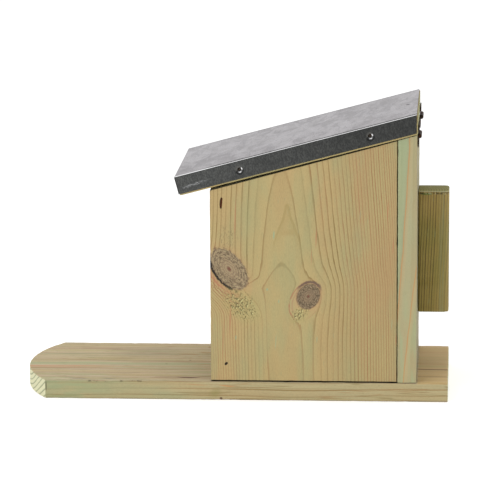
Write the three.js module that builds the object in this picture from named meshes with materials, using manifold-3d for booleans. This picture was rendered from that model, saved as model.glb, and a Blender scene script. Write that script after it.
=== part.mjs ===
// Garden birdhouse: a pressure-treated pine box on a long landing board, with a
// hinged lid capped in galvanised sheet and a spacer block for fixing to a tree or wall.
//
// Frame, in millimetres: X across the box, -Y to the front (the free end of the
// landing board), +Y to the tree or wall, +Z up. The origin is under the middle of
// the overall box, on the underside of the landing board.
import * as THREE from "three";
import { mergeVertices } from "three/addons/utils/BufferGeometryUtils.js";
import Module from "manifold-3d";

// ---------- driving dimensions (mm) ----------
const GAP = 0.3; // clearance kept between neighbouring pieces
const BOARD = 18; // planed board thickness: base, sides, front, lid
const BACK_BOARD = 18; // planed thickness of the back board
const WIDTH = 160; // box, base and lid-board width
const LENGTH = 408.6; // landing board, tip to rear end
const REAR = LENGTH / 2; // plane that meets the tree or wall
const TIP = -LENGTH / 2; // foremost point of the landing board
const TIP_SAGITTA = 24.1; // how far the curved front end bows out past its corners
const BLOCK_DEPTH = 30; // spacer block, back board to wall plane
const BLOCK_WIDTH = 29;
const BLOCK_LOW = 73; // underside of the spacer block
const BLOCK_HIGH = 192.5;
const BLOCK_ROUND = 4.5; // radius of its long edges
const BACK_REAR = REAR - BLOCK_DEPTH; // rear face of the back board
const BACK_FRONT = BACK_REAR - BACK_BOARD; // front face of the back board
const BOX_FRONT = BACK_REAR - 195.3; // front edges of the sides
const SIDE_TOP_FRONT = 202.9; // height of the sides' top edge at the front
const SIDE_SLOPE = THREE.MathUtils.degToRad(15.25);
const LID_SLOPE = THREE.MathUtils.degToRad(14.85);
const LID_REAR = BACK_REAR + 0.5; // plumb-cut rear end of the lid board
const LID_UNDER_REAR = 256.8; // height of the lid's underside over BACK_REAR
const LID_FRONT = BOX_FRONT - 33.7; // foremost edge of the sheet cap
const SHEET = 0.8; // sheet-metal thickness
const SHEET_FLANGE = 17.5; // height of the cap's turned-down edges
const SHEET_REAR = LID_REAR - 1.0; // the sheet stops just short of the lid board
const ENTRANCE_R = 16; // entrance hole, 32 mm across
const ENTRANCE_Z = 140; // height of its centre
const HINGE_X = 57.5; // hinge centres, either side of the middle
const HINGE_LENGTH = 25;
const HINGE_HALF = 10.5; // leaf edge to pin axis
const LEAF = 1.0; // leaf thickness
const BARREL_R = 1.9;
const BARREL_BORE = 1.15;
const PIN_R = 1.05;
const HINGE_Y = BACK_REAR + GAP + BARREL_R; // pin axis
const HINGE_Z = 254;

// ---------- solid helpers ----------
const wasm = await Module();
wasm.setup();

// A closed three.js geometry as a solid, optionally moved first.
function solid(geometry, matrix) {
  let g = geometry.index ? geometry.toNonIndexed() : geometry.clone();
  if (matrix) g.applyMatrix4(matrix);
  for (const k of Object.keys(g.attributes))
    if (k !== "position") g.deleteAttribute(k);
  g = mergeVertices(g, 1e-4);
  return new wasm.Manifold(
    new wasm.Mesh({
      numProp: 3,
      vertProperties: new Float32Array(g.attributes.position.array),
      triVerts: new Uint32Array(g.index.array),
    }),
  );
}

function geometryOf(s) {
  const m = s.getMesh();
  const n = m.numProp;
  const v = new Float32Array(m.numVert * 3);
  for (let i = 0; i < m.numVert; i++)
    v.set(m.vertProperties.subarray(i * n, i * n + 3), i * 3);
  const indexed = new THREE.BufferGeometry();
  indexed.setAttribute("position", new THREE.BufferAttribute(v, 3));
  indexed.setIndex(new THREE.BufferAttribute(new Uint32Array(m.triVerts), 1));
  const g = indexed.toNonIndexed();
  g.computeVertexNormals();
  return g;
}

const V = (x, y, z) => new THREE.Vector3(x, y, z);

// Extrudes a closed outline of [y, z] points across x0..x1.
function prismX(outline, x0, x1) {
  const shape = new THREE.Shape(outline.map(([y, z]) => new THREE.Vector2(y, z)));
  const g = new THREE.ExtrudeGeometry(shape, { depth: x1 - x0, bevelEnabled: false });
  const m = new THREE.Matrix4()
    .makeBasis(V(0, 1, 0), V(0, 0, 1), V(1, 0, 0))
    .setPosition(x0, 0, 0);
  return solid(g, m);
}

// Extrudes a closed outline of [x, y] points up z0..z1.
function prismZ(outline, z0, z1) {
  const shape = new THREE.Shape(outline.map(([x, y]) => new THREE.Vector2(x, y)));
  const g = new THREE.ExtrudeGeometry(shape, { depth: z1 - z0, bevelEnabled: false });
  return solid(g, new THREE.Matrix4().makeTranslation(0, 0, z0));
}

function box(x0, x1, y0, y1, z0, z1) {
  return solid(
    new THREE.BoxGeometry(x1 - x0, y1 - y0, z1 - z0),
    new THREE.Matrix4().makeTranslation((x0 + x1) / 2, (y0 + y1) / 2, (z0 + z1) / 2),
  );
}

// Turns a profile of [radius, distance] points, placed with its distance axis
// starting at `at` and running along `dir`.
function turned(profile, at, dir, segments) {
  const g = new THREE.LatheGeometry(
    profile.map(([r, h]) => new THREE.Vector2(r, h)),
    segments,
  );
  const q = new THREE.Quaternion().setFromUnitVectors(V(0, 1, 0), dir.clone().normalize());
  const m = new THREE.Matrix4().compose(at, q, V(1, 1, 1));
  let s = solid(g, m);
  if (s.volume() < 0) {
    // A profile listed the other way round turns its faces inwards, so flip each one.
    const f = g.index ? g.toNonIndexed() : g;
    const p = f.attributes.position;
    for (let i = 0; i < p.count; i += 3) {
      const a = V(p.getX(i + 1), p.getY(i + 1), p.getZ(i + 1));
      p.setXYZ(i + 1, p.getX(i + 2), p.getY(i + 2), p.getZ(i + 2));
      p.setXYZ(i + 2, a.x, a.y, a.z);
    }
    s = solid(f, m);
  }
  return s;
}

// ---------- fasteners ----------
// A countersunk wood screw whose flat head lies `sunk` below `at` and whose point
// lies `length` along `dir`. `grow` swells it to cut its own seat.
function screw({ at, dir, length, headR, shankR, sunk = 0 }, grow = 0) {
  const g = grow;
  const cone = headR - shankR;
  const open = g > 0 ? -3 : sunk; // a seat is open to the outside
  return turned(
    g > 0
      ? [
          [0, open],
          [headR + g, open],
          [headR + g, sunk + 0.4],
          [shankR + g, sunk + 0.4 + cone],
          [shankR + g, length - 3 + g],
          [0, length + g],
        ]
      : [
          [0, sunk],
          [headR, sunk],
          [headR, sunk + 0.35],
          [shankR, sunk + 0.35 + cone],
          [shankR, length - 3],
          [0, length],
        ],
    at,
    dir,
    10,
  );
}

// A round wire nail with a small flat head.
function nail({ at, dir, length, headR, shankR, sunk = 0 }, grow = 0) {
  const g = grow;
  return turned(
    g > 0
      ? [
          [0, -3],
          [headR + g, -3],
          [headR + g, sunk + 0.7 + g],
          [shankR + g, sunk + 0.7 + g],
          [shankR + g, length - 2 + g],
          [0, length + g],
        ]
      : [
          [0, sunk],
          [headR, sunk],
          [headR, sunk + 0.7],
          [shankR, sunk + 0.7],
          [shankR, length - 2],
          [0, length],
        ],
    at,
    dir,
    10,
  );
}

// A wire staple driven across the panel at side = +1 or -1: crown along a line
// leaning `lean` from upright, legs running inwards.
function staple({ side, y, z, crown, leg, wire, sunk, lean }, grow = 0) {
  const w = wire / 2 + grow;
  const half = crown / 2;
  const out = WIDTH / 2;
  const local = (x0, x1, z0, z1) =>
    solid(
      new THREE.BoxGeometry(x1 - x0, 2 * w, z1 - z0),
      new THREE.Matrix4().makeTranslation((x0 + x1) / 2, 0, (z0 + z1) / 2),
    );
  const top = grow > 0 ? out + 1 : out - sunk;
  let s = local(out - sunk - wire - grow, top, -half - grow, half + grow);
  for (const k of [-1, 1]) {
    const c = k * (half - wire / 2);
    s = s.add(local(out - sunk - leg - grow, out - sunk - wire / 2, c - w, c + w));
  }
  const m = new THREE.Matrix4()
    .makeTranslation(0, y, z)
    .multiply(new THREE.Matrix4().makeScale(side, 1, 1))
    .multiply(new THREE.Matrix4().makeRotationX(lean));
  const g = geometryOf(s);
  g.applyMatrix4(m);
  if (side < 0) {
    const p = g.attributes.position;
    for (let i = 0; i < p.count; i += 3) {
      const a = V(p.getX(i + 1), p.getY(i + 1), p.getZ(i + 1));
      p.setXYZ(i + 1, p.getX(i + 2), p.getY(i + 2), p.getZ(i + 2));
      p.setXYZ(i + 2, a.x, a.y, a.z);
    }
  }
  return solid(g);
}

// ---------- shared shapes ----------
const sideTop = (y) => SIDE_TOP_FRONT + (y - BOX_FRONT) * Math.tan(SIDE_SLOPE);
const lidUnder = (y) => LID_UNDER_REAR + (y - BACK_REAR) * Math.tan(LID_SLOPE);
const along = [Math.cos(LID_SLOPE), Math.sin(LID_SLOPE)]; // up the slope, in y and z
const normal = [-Math.sin(LID_SLOPE), Math.cos(LID_SLOPE)]; // square to the lid, upwards
const CAP_TOP = BOARD + GAP + SHEET; // lid underside to the top of the sheet

// The foremost line of the cap, square to the slope, and its foot on the lid's underside plane.
const capFoot = (() => {
  // top front edge of the cap lies at y = LID_FRONT
  const y = LID_FRONT - CAP_TOP * normal[0];
  return [y, lidUnder(y)];
})();
// A point of the lid's section: s up the slope from the cap's foremost line, n above the underside.
const lidPoint = (s, n) => [
  capFoot[0] + s * along[0] + n * normal[0],
  capFoot[1] + s * along[1] + n * normal[1],
];
// Where a line n above the underside meets the plumb plane y.
const lidAtY = (y, n) => {
  const s = (y - capFoot[0] - n * normal[0]) / along[0];
  return lidPoint(s, n);
};

// ---------- timber ----------
const pieces = {}; // name -> { body, solid, cuts }
const put = (name, body, s, look) => {
  pieces[name] = { body, solid: s, look };
};

// landing board and floor in one, with a curved front end
{
  const h = WIDTH / 2;
  const r = (h * h + TIP_SAGITTA * TIP_SAGITTA) / (2 * TIP_SAGITTA);
  const outline = [];
  const n = 28;
  const a = Math.asin(h / r);
  for (let i = 0; i <= n; i++) {
    const t = -a + (2 * a * i) / n;
    outline.push([r * Math.sin(t), TIP + r - r * Math.cos(t)]);
  }
  outline.push([h, REAR], [-h, REAR]);
  put("base_board", "box", prismZ(outline, 0, BOARD), "pine");
}

for (const [name, side] of [
  ["right_side_panel", 1],
  ["left_side_panel", -1],
]) {
  const rear = BACK_FRONT - GAP;
  const outline = [
    [BOX_FRONT, BOARD + GAP],
    [rear, BOARD + GAP],
    [rear, sideTop(rear)],
    [BOX_FRONT, sideTop(BOX_FRONT)],
  ];
  const x0 = side > 0 ? WIDTH / 2 - BOARD : -WIDTH / 2;
  put(name, "box", prismX(outline, x0, x0 + BOARD), "pine");
}

put(
  "back_board",
  "box",
  prismX(
    [
      [BACK_FRONT, BOARD + GAP],
      [BACK_REAR, BOARD + GAP],
      [BACK_REAR, sideTop(BACK_REAR)],
      [BACK_FRONT, sideTop(BACK_FRONT)],
    ],
    -WIDTH / 2,
    WIDTH / 2,
  ),
  "pine",
);

// front board between the sides, with the round entrance
{
  const half = WIDTH / 2 - BOARD - GAP;
  const board = box(-half, half, BOX_FRONT, BOX_FRONT + BOARD, BOARD + GAP, SIDE_TOP_FRONT - 0.5);
  const hole = turned(
    [
      [0, 0],
      [ENTRANCE_R, 0],
      [ENTRANCE_R, BOARD + 10],
      [0, BOARD + 10],
    ],
    V(0, BOX_FRONT - 5, ENTRANCE_Z),
    V(0, 1, 0),
    40,
  );
  put("front_board", "box", board.subtract(hole), "pine");
}

// spacer block with rounded long edges
{
  const w = BLOCK_WIDTH / 2;
  const outline = [];
  const y0 = BACK_REAR + GAP;
  const corners = [
    [w, REAR, 1, 1],
    [-w, REAR, -1, 1],
    [-w, y0, -1, -1],
    [w, y0, 1, -1],
  ];
  const starts = [0, 90, 180, 270];
  corners.forEach(([x, y, sx, sy], i) => {
    const rr = sy > 0 ? BLOCK_ROUND : 2;
    for (let k = 0; k <= 4; k++) {
      const t = THREE.MathUtils.degToRad(starts[i] + (90 * k) / 4);
      outline.push([x - sx * rr + rr * Math.cos(t), y - sy * rr + rr * Math.sin(t)]);
    }
  });
  put("spacer_block", "box", prismZ(outline, BLOCK_LOW, BLOCK_HIGH), "dark_pine");
}

// lid board, square-cut in front and plumb-cut behind
put(
  "lid_board",
  "lid",
  prismX(
    [
      lidPoint(SHEET + GAP, 0),
      lidAtY(LID_REAR, 0),
      lidAtY(LID_REAR, BOARD),
      lidPoint(SHEET + GAP, BOARD),
    ],
    -WIDTH / 2,
    WIDTH / 2,
  ),
  "pine",
);

// sheet cap folded down over the sides and front of the lid board
{
  const half = WIDTH / 2 + GAP + SHEET;
  const foot = CAP_TOP - SHEET_FLANGE;
  const outer = prismX(
    [
      lidPoint(0, foot),
      lidAtY(SHEET_REAR, foot),
      lidAtY(SHEET_REAR, CAP_TOP),
      lidPoint(0, CAP_TOP),
    ],
    -half,
    half,
  );
  const inner = prismX(
    [
      lidPoint(SHEET, foot - 10),
      lidPoint(300, foot - 10),
      lidPoint(300, CAP_TOP - SHEET),
      lidPoint(SHEET, CAP_TOP - SHEET),
    ],
    -half + SHEET,
    half - SHEET,
  );
  put("lid_sheet_cap", "lid", outer.subtract(inner), "galvanised");
}

// ---------- hinges ----------
for (const [tag, xc] of [
  ["right", HINGE_X],
  ["left", -HINGE_X],
]) {
  const x0 = xc - HINGE_LENGTH / 2;
  const x1 = xc + HINGE_LENGTH / 2;
  const third = HINGE_LENGTH / 3;
  const ring = (a, b) =>
    turned(
      [
        [BARREL_BORE, 0],
        [BARREL_R, 0],
        [BARREL_R, b - a],
        [BARREL_BORE, b - a],
        [BARREL_BORE, 0],
      ],
      V(a, HINGE_Y, HINGE_Z),
      V(1, 0, 0),
      20,
    );
  const bore = turned(
    [
      [0, 0],
      [BARREL_BORE, 0],
      [BARREL_BORE, HINGE_LENGTH + 2],
      [0, HINGE_LENGTH + 2],
    ],
    V(x0 - 1, HINGE_Y, HINGE_Z),
    V(1, 0, 0),
    20,
  );
  // fixed leaf on the back board: two outer knuckles
  const lowY = BACK_REAR + GAP;
  const middle = [x0 + third - 0.2, x1 - third + 0.2];
  let fixed = box(x0, x1, lowY, lowY + LEAF, HINGE_Z - HINGE_HALF, HINGE_Z - BARREL_R - 0.3);
  for (const [a, b] of [
    [x0, x0 + third - 0.2],
    [x1 - third + 0.2, x1],
  ]) {
    fixed = fixed.add(box(a, b, lowY, lowY + LEAF, HINGE_Z - BARREL_R - 1, HINGE_Z - 0.2));
    fixed = fixed.add(ring(a, b));
  }
  fixed = fixed.subtract(bore);
  put(`${tag}_hinge_fixed_leaf`, "box", fixed, "zinc");
  // moving leaf on the lid board: one middle knuckle
  const upY = LID_REAR + GAP;
  let moving = box(x0, x1, upY, upY + LEAF, HINGE_Z + BARREL_R + 0.3, HINGE_Z + HINGE_HALF);
  const a = middle[0] + 0.2;
  const b = middle[1] - 0.2;
  moving = moving.add(box(a, b, upY, upY + LEAF, HINGE_Z + 0.2, HINGE_Z + BARREL_R + 1));
  moving = moving.add(ring(a, b));
  moving = moving.subtract(bore);
  put(`${tag}_hinge_moving_leaf`, "lid", moving, "zinc");
  put(
    `${tag}_hinge_pin`,
    "box",
    turned(
      [
        [0, 0],
        [BARREL_R - 0.3, 0],
        [BARREL_R - 0.3, 0.5],
        [PIN_R, 0.5],
        [PIN_R, HINGE_LENGTH + 1.1],
        [BARREL_R - 0.3, HINGE_LENGTH + 1.1],
        [BARREL_R - 0.3, HINGE_LENGTH + 1.6],
        [0, HINGE_LENGTH + 1.6],
      ],
      V(x0 - 0.8, HINGE_Y, HINGE_Z),
      V(1, 0, 0),
      16,
    ),
    "zinc",
  );
}

// ---------- fastener schedule ----------
// Each entry cuts its own seat in every piece listed under `through`.
const SIDE_X = WIDTH / 2 - BOARD / 2;
const fasteners = [];
const addScrew = (name, body, spec, through, look = "zinc") =>
  fasteners.push({ name, body, make: (g) => screw(spec, g), through, look });
const addNail = (name, body, spec, through, look = "dark_steel") =>
  fasteners.push({ name, body, make: (g) => nail(spec, g), through, look });

for (const [tag, side] of [
  ["right", 1],
  ["left", -1],
]) {
  const panel = `${tag}_side_panel`;
  // staple and brad through the side into the front board
  const st = {
    side,
    y: BOX_FRONT + 10.9,
    z: 190.9,
    crown: 8.8,
    leg: 30,
    wire: 1.3,
    sunk: 0.9,
    lean: THREE.MathUtils.degToRad(-5),
  };
  fasteners.push({
    name: `${tag}_front_staple`,
    body: "box",
    make: (g) => staple(st, g),
    through: [panel, "front_board"],
    look: "rusty_steel",
  });
  addNail(
    `${tag}_front_brad`,
    "box",
    {
      at: V((side * WIDTH) / 2, BOX_FRONT + 14.2, 35.1),
      dir: V(-side, 0, 0),
      length: 34,
      headR: 1.0,
      shankR: 0.6,
      sunk: 0.9,
    },
    [panel, "front_board"],
  );
  // base to sides, from below
  for (const [k, y] of [
    ["front", BOX_FRONT + 38],
    ["rear", BACK_FRONT - 26],
  ])
    addScrew(
      `${tag}_base_screw_${k}`,
      "box",
      { at: V(side * SIDE_X, y, 0), dir: V(0, 0, 1), length: 40, headR: 3.8, shankR: 1.7, sunk: 0.8 },
      ["base_board", panel],
    );
  // back board to sides, from behind
  for (const [k, z] of [
    ["lower", 52],
    ["upper", 212],
  ])
    addScrew(
      `${tag}_back_screw_${k}`,
      "box",
      { at: V(side * SIDE_X, BACK_REAR, z), dir: V(0, -1, 0), length: 44, headR: 3.8, shankR: 1.7, sunk: 0.5 },
      ["back_board", panel],
    );
  // hinge screws
  const xc = side * HINGE_X;
  [-1, 1].forEach((k, i) => {
    const n = i + 1;
    addScrew(
      `${tag}_hinge_screw_back_${n}`,
      "box",
      {
        at: V(xc + k * 7, BACK_REAR + GAP + LEAF, HINGE_Z - 6.4),
        dir: V(0, -1, 0),
        length: 15,
        headR: 2.5,
        shankR: 1.1,
      },
      [`${tag}_hinge_fixed_leaf`, "back_board"],
    );
    addScrew(
      `${tag}_hinge_screw_lid_${n}`,
      "lid",
      {
        at: V(xc + k * 7, LID_REAR + GAP + LEAF, HINGE_Z + 6.4),
        dir: V(0, -1, 0),
        length: 15,
        headR: 2.5,
        shankR: 1.1,
      },
      [`${tag}_hinge_moving_leaf`, "lid_board"],
    );
  });
  // cap nails in the side flanges
  for (const [k, s] of [
    ["front", 61.8],
    ["rear", 188.8],
  ]) {
    const [y, z] = lidPoint(s, CAP_TOP - SHEET_FLANGE / 2);
    addNail(
      `${tag}_cap_nail_${k}`,
      "lid",
      {
        at: V(side * (WIDTH / 2 + GAP + SHEET), y, z),
        dir: V(-side, 0, 0),
        length: 25,
        headR: 1.5,
        shankR: 0.9,
        sunk: 2.6,
      },
      ["lid_sheet_cap", "lid_board"],
    );
  }
  // cap nails in the front flange
  {
    const [y, z] = lidPoint(0, CAP_TOP - SHEET_FLANGE / 2);
    addNail(
      `${tag}_cap_nail_eaves`,
      "lid",
      {
        at: V(side * 48, y, z),
        dir: V(0, along[0], along[1]),
        length: 25,
        headR: 1.5,
        shankR: 0.9,
        sunk: 2.6,
      },
      ["lid_sheet_cap", "lid_board"],
    );
  }
}
addScrew(
  "base_screw_front_board",
  "box",
  {
    at: V(0, BOX_FRONT + BOARD / 2, 0),
    dir: V(0, 0, 1),
    length: 40,
    headR: 3.8,
    shankR: 1.7,
    sunk: 0.8,
  },
  ["base_board", "front_board"],
);
addScrew(
  "base_screw_back_board",
  "box",
  {
    at: V(0, BACK_FRONT + BACK_BOARD / 2, 0),
    dir: V(0, 0, 1),
    length: 40,
    headR: 3.8,
    shankR: 1.7,
    sunk: 0.8,
  },
  ["base_board", "back_board"],
);
// spacer block, screwed on from inside the box
for (const [k, z] of [
  ["lower", 104],
  ["upper", 162],
])
  addScrew(
    `block_screw_${k}`,
    "box",
    { at: V(0, BACK_FRONT, z), dir: V(0, 1, 0), length: 40, headR: 3.8, shankR: 1.7, sunk: 0.4 },
    ["back_board", "spacer_block"],
  );

for (const f of fasteners) {
  const cut = f.make(GAP);
  for (const name of f.through)
    pieces[name].solid = pieces[name].solid.subtract(cut);
  put(f.name, f.body, f.make(0), f.look);
}

// shallow pockets behind the dimpled nail holes of the cap
for (const side of [1, -1]) {
  for (const s of [61.8, 188.8]) {
    const [y, z] = lidPoint(s, CAP_TOP - SHEET_FLANGE / 2);
    pieces.lid_board.solid = pieces.lid_board.solid.subtract(
      turned(
        [
          [0, -2],
          [4.4, -2],
          [4.4, 0.2],
          [2.2, 2.2],
          [0, 2.2],
        ],
        V((side * WIDTH) / 2, y, z),
        V(-side, 0, 0),
        14,
      ),
    );
  }
  const [y, z] = lidPoint(SHEET + GAP, CAP_TOP - SHEET_FLANGE / 2);
  pieces.lid_board.solid = pieces.lid_board.solid.subtract(
    turned(
      [
        [0, -2],
        [4.4, -2],
        [4.4, 0.2],
        [2.2, 2.2],
        [0, 2.2],
      ],
      V(side * 48, y, z),
      V(0, along[0], along[1]),
      14,
    ),
  );
}

// ---------- materials and scene graph ----------
const looks = {
  pine: new THREE.MeshStandardMaterial({ color: 0xb6a678, roughness: 0.75, metalness: 0 }),
  dark_pine: new THREE.MeshStandardMaterial({ color: 0x7a6a3e, roughness: 0.8, metalness: 0 }),
  galvanised: new THREE.MeshStandardMaterial({ color: 0xb9b7b9, roughness: 0.42, metalness: 1 }),
  zinc: new THREE.MeshStandardMaterial({ color: 0x8d8a86, roughness: 0.35, metalness: 1 }),
  dark_steel: new THREE.MeshStandardMaterial({ color: 0x3a352f, roughness: 0.5, metalness: 1 }),
  rusty_steel: new THREE.MeshStandardMaterial({ color: 0x7a4420, roughness: 0.7, metalness: 0.6 }),
};

const birdhouse = new THREE.Group();
const groups = { box: new THREE.Group(), lid: new THREE.Group() };
// The lid group turns about the hinge pins, so it is placed on their axis.
groups.lid.position.set(0, HINGE_Y, HINGE_Z);
birdhouse.add(groups.box, groups.lid);
for (const [name, { body, solid: s, look }] of Object.entries(pieces)) {
  const g = geometryOf(s);
  if (body === "lid") g.translate(0, -HINGE_Y, -HINGE_Z);
  const mesh = new THREE.Mesh(g, looks[look]);
  mesh.name = name;
  groups[body].add(mesh);
}

export default birdhouse;
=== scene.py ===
"""Birdhouse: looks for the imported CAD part. Everything is in metres in the row frame:
+X across the box (the near side in the main view), -Y to the front of the landing board, +Z up."""

import math
import random

import bmesh
import bpy
from mathutils import Matrix, Vector, noise


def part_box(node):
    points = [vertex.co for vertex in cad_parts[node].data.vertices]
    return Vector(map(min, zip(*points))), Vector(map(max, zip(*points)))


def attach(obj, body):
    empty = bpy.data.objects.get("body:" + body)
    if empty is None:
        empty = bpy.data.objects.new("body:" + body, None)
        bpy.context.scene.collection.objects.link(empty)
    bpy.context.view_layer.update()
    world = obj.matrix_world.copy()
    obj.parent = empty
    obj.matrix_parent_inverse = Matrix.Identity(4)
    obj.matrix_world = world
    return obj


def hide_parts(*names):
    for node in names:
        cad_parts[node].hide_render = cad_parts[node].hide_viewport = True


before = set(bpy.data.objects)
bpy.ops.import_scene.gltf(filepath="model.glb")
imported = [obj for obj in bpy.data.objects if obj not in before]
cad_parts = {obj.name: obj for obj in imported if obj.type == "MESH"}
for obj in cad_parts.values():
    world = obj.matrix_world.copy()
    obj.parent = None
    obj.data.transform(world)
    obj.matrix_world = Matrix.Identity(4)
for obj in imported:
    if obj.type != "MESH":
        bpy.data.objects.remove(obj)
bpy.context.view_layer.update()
random.seed(11)

MM = 0.001
B = {n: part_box(n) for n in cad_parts}

# ---- sizes taken from the frame ----
side_lo, side_hi = B["right_side_panel"]
back_lo, back_hi = B["back_board"]
base_lo, base_hi = B["base_board"]
front_lo, front_hi = B["front_board"]
block_lo, block_hi = B["spacer_block"]
lid_lo, lid_hi = B["lid_board"]
cap_lo, cap_hi = B["lid_sheet_cap"]


# =====================================================================================
# shader graphs
# =====================================================================================
def srgb(h):
    h = h.lstrip("#")
    v = [int(h[i : i + 2], 16) / 255 for i in (0, 2, 4)]
    return tuple(c / 12.92 if c <= 0.04045 else ((c + 0.055) / 1.055) ** 2.4 for c in v) + (1.0,)


class S:
    """A float socket with arithmetic that adds Math nodes."""

    def __init__(self, tree, sock):
        self.t, self.s = tree, sock

    def _op(self, op, *rest):
        n = self.t.nodes.new("ShaderNodeMath")
        n.operation = op
        for i, v in enumerate((self, *rest)):
            if isinstance(v, S):
                self.t.links.new(v.s, n.inputs[i])
            else:
                n.inputs[i].default_value = float(v)
        return S(self.t, n.outputs[0])

    def __add__(self, o):
        return self._op("ADD", o)

    __radd__ = __add__

    def __mul__(self, o):
        return self._op("MULTIPLY", o)

    __rmul__ = __mul__

    def __sub__(self, o):
        return self._op("SUBTRACT", o)

    def __rsub__(self, o):
        return (self * -1.0) + o

    def __truediv__(self, o):
        return self._op("DIVIDE", o)

    def __rtruediv__(self, o):
        return self._op("POWER", -1.0) * o

    def __neg__(self):
        return self * -1.0


class M:
    """Functions used by the ring patterns, on sockets."""

    @staticmethod
    def sqrt(a):
        return a._op("SQRT")

    @staticmethod
    def exp(a):
        return a._op("EXPONENT")

    @staticmethod
    def min(a, b):
        return a._op("MINIMUM", b)

    @staticmethod
    def max(a, b):
        return a._op("MAXIMUM", b)

    @staticmethod
    def fract(a):
        return a._op("FRACT")

    @staticmethod
    def floor(a):
        return a._op("FLOOR")

    @staticmethod
    def abs(a):
        return a._op("ABSOLUTE")

    @staticmethod
    def atan2(a, b):
        return a._op("ARCTAN2", b)


def smooth(a, lo, hi):
    n = a.t.nodes.new("ShaderNodeMapRange")
    n.interpolation_type = "SMOOTHSTEP"
    a.t.links.new(a.s, n.inputs["Value"])
    n.inputs["From Min"].default_value = lo
    n.inputs["From Max"].default_value = hi
    return S(a.t, n.outputs["Result"])


def noise3(a, b, c, detail=2.0, rough=0.5, distortion=0.0):
    """Smooth noise, 0 to 1, at a point given by three sockets."""
    t = a.t
    v = t.nodes.new("ShaderNodeCombineXYZ")
    for i, x in enumerate((a, b, c)):
        t.links.new(x.s, v.inputs[i])
    n = t.nodes.new("ShaderNodeTexNoise")
    n.inputs["Scale"].default_value = 1.0
    n.inputs["Detail"].default_value = detail
    n.inputs["Roughness"].default_value = rough
    n.inputs["Distortion"].default_value = distortion
    t.links.new(v.outputs[0], n.inputs["Vector"])
    return S(t, n.outputs["Fac"])


def colour_mix(t, fac, a, b, mode="MIX"):
    n = t.nodes.new("ShaderNodeMix")
    n.data_type = "RGBA"
    n.blend_type = mode
    if isinstance(fac, S):
        t.links.new(fac.s, n.inputs[0])
    else:
        n.inputs[0].default_value = fac
    for i, c in ((6, a), (7, b)):
        if isinstance(c, tuple):
            n.inputs[i].default_value = c
        else:
            t.links.new(c, n.inputs[i])
    return n.outputs[2]


def shade(t, colour, k):
    """Colour times a float socket."""
    n = t.nodes.new("ShaderNodeVectorMath")
    n.operation = "SCALE"
    t.links.new(colour, n.inputs[0])
    t.links.new(k.s, n.inputs["Scale"])
    return n.outputs[0]


def new_material(name):
    m = bpy.data.materials.new(name)
    m.use_nodes = True
    t = m.node_tree
    t.nodes.clear()
    out = t.nodes.new("ShaderNodeOutputMaterial")
    p = t.nodes.new("ShaderNodeBsdfPrincipled")
    t.links.new(p.outputs[0], out.inputs[0])
    tc = t.nodes.new("ShaderNodeTexCoord")
    sx = t.nodes.new("ShaderNodeSeparateXYZ")
    t.links.new(tc.outputs["Object"], sx.inputs[0])
    xyz = [S(t, sx.outputs[i]) * 1000.0 for i in range(3)]
    sn = t.nodes.new("ShaderNodeSeparateXYZ")
    t.links.new(tc.outputs["Normal"], sn.inputs[0])
    nrm = [S(t, sn.outputs[i]) for i in range(3)]
    return m, t, p, xyz, nrm


def bump(t, p, height_mm, strength=1.0):
    n = t.nodes.new("ShaderNodeBump")
    n.inputs["Strength"].default_value = strength
    n.inputs["Distance"].default_value = 0.001
    t.links.new(height_mm.s, n.inputs["Height"])
    t.links.new(n.outputs[0], p.inputs["Normal"])


# >>> fields: ring patterns of the boards, in millimetres
def knot_distance(M, u, v, cu, cv, major, minor, turn):
    """Elliptical distance from a knot's heart, 1 at its rim."""
    c, s = math.cos(math.radians(turn)), math.sin(math.radians(turn))
    a = (u - cu) * c + (v - cv) * s
    b = (v - cv) * c - (u - cu) * s
    return M.sqrt((a / major) * (a / major) + (b / minor) * (b / minor) + 1e-6)


def side_field(M, u, v, w, wob, mirror):
    """Rings of a flat-sawn side panel: u from the front edge, v up, w in from the face."""
    if mirror:
        u1, v1, u2, v2 = 118.0, 88.0, 46.0, 170.0
        k1 = knot_distance(M, u, v, u1, v1, 19.0, 12.0, -60.0)
        k2 = knot_distance(M, u, v, u2, v2, 11.0, 9.0, 50.0)
        halo = knot_distance(M, u, v, u2 - 2.0, v2 - 3.0, 17.0, 12.0, 60.0)
        high, mid = 150.0, 84.0
    else:
        u1, v1, u2, v2 = 18.0, 127.5, 93.0, 101.5
        k1 = knot_distance(M, u, v, u1, v1, 23.6, 13.6, -52.0)
        k2 = knot_distance(M, u, v, u2, v2, 13.0, 10.6, 62.0)
        halo = knot_distance(M, u, v, 90.0, 97.0, 21.0, 14.5, 62.0)
        high, mid = 136.0, 69.0
    pull1 = M.min(0.75 / (k1 * k1), 1.0)
    pull2 = M.min(0.8 / (halo * halo), 1.0)
    if mirror:
        slide = 0.0 * u
        crowd = 0.0 * u
        lean = 0.8
    else:
        # beside the first knot the rings hook back into its rim; below it they crowd together
        gate = M.min(M.max((121.0 - v) / 12.0, 0.0), 1.0) * M.min(M.max((v - 78.0) / 14.0, 0.0), 1.0)
        slide = 15.0 * gate * M.exp((u - 34.0) * (u - 34.0) * -0.0062)
        fade = M.min(M.max((113.0 - v) / 32.0, 0.0), 1.0)
        crowd = 0.155 * M.max(54.0 - u, 0.0) * (fade * fade * (3.0 - 2.0 * fade))
        lean = 0.25
    uu = u - (u - u1) * pull1 * lean - (u - (u2 - 1.5)) * pull2 * 0.8 + slide
    du = uu - (mid - (v - 130.0) * 0.03)
    rise = 40.2 + 0.052 * M.max(v - (high - 3.0), 0.0)
    fall = M.min(M.max((high - 1.0 - v) / 27.0, 0.0), 1.0)
    rise = rise - 3.6 * (fall * fall * (3.0 - 2.0 * fall))
    r = M.sqrt(du * du + rise * rise) + wob * 1.2 + w * 0.6 - 40.0
    return r * 0.2 + r * r * 0.0021 - 0.05 + crowd, k1, k2, halo, du
# <<< fields


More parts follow.
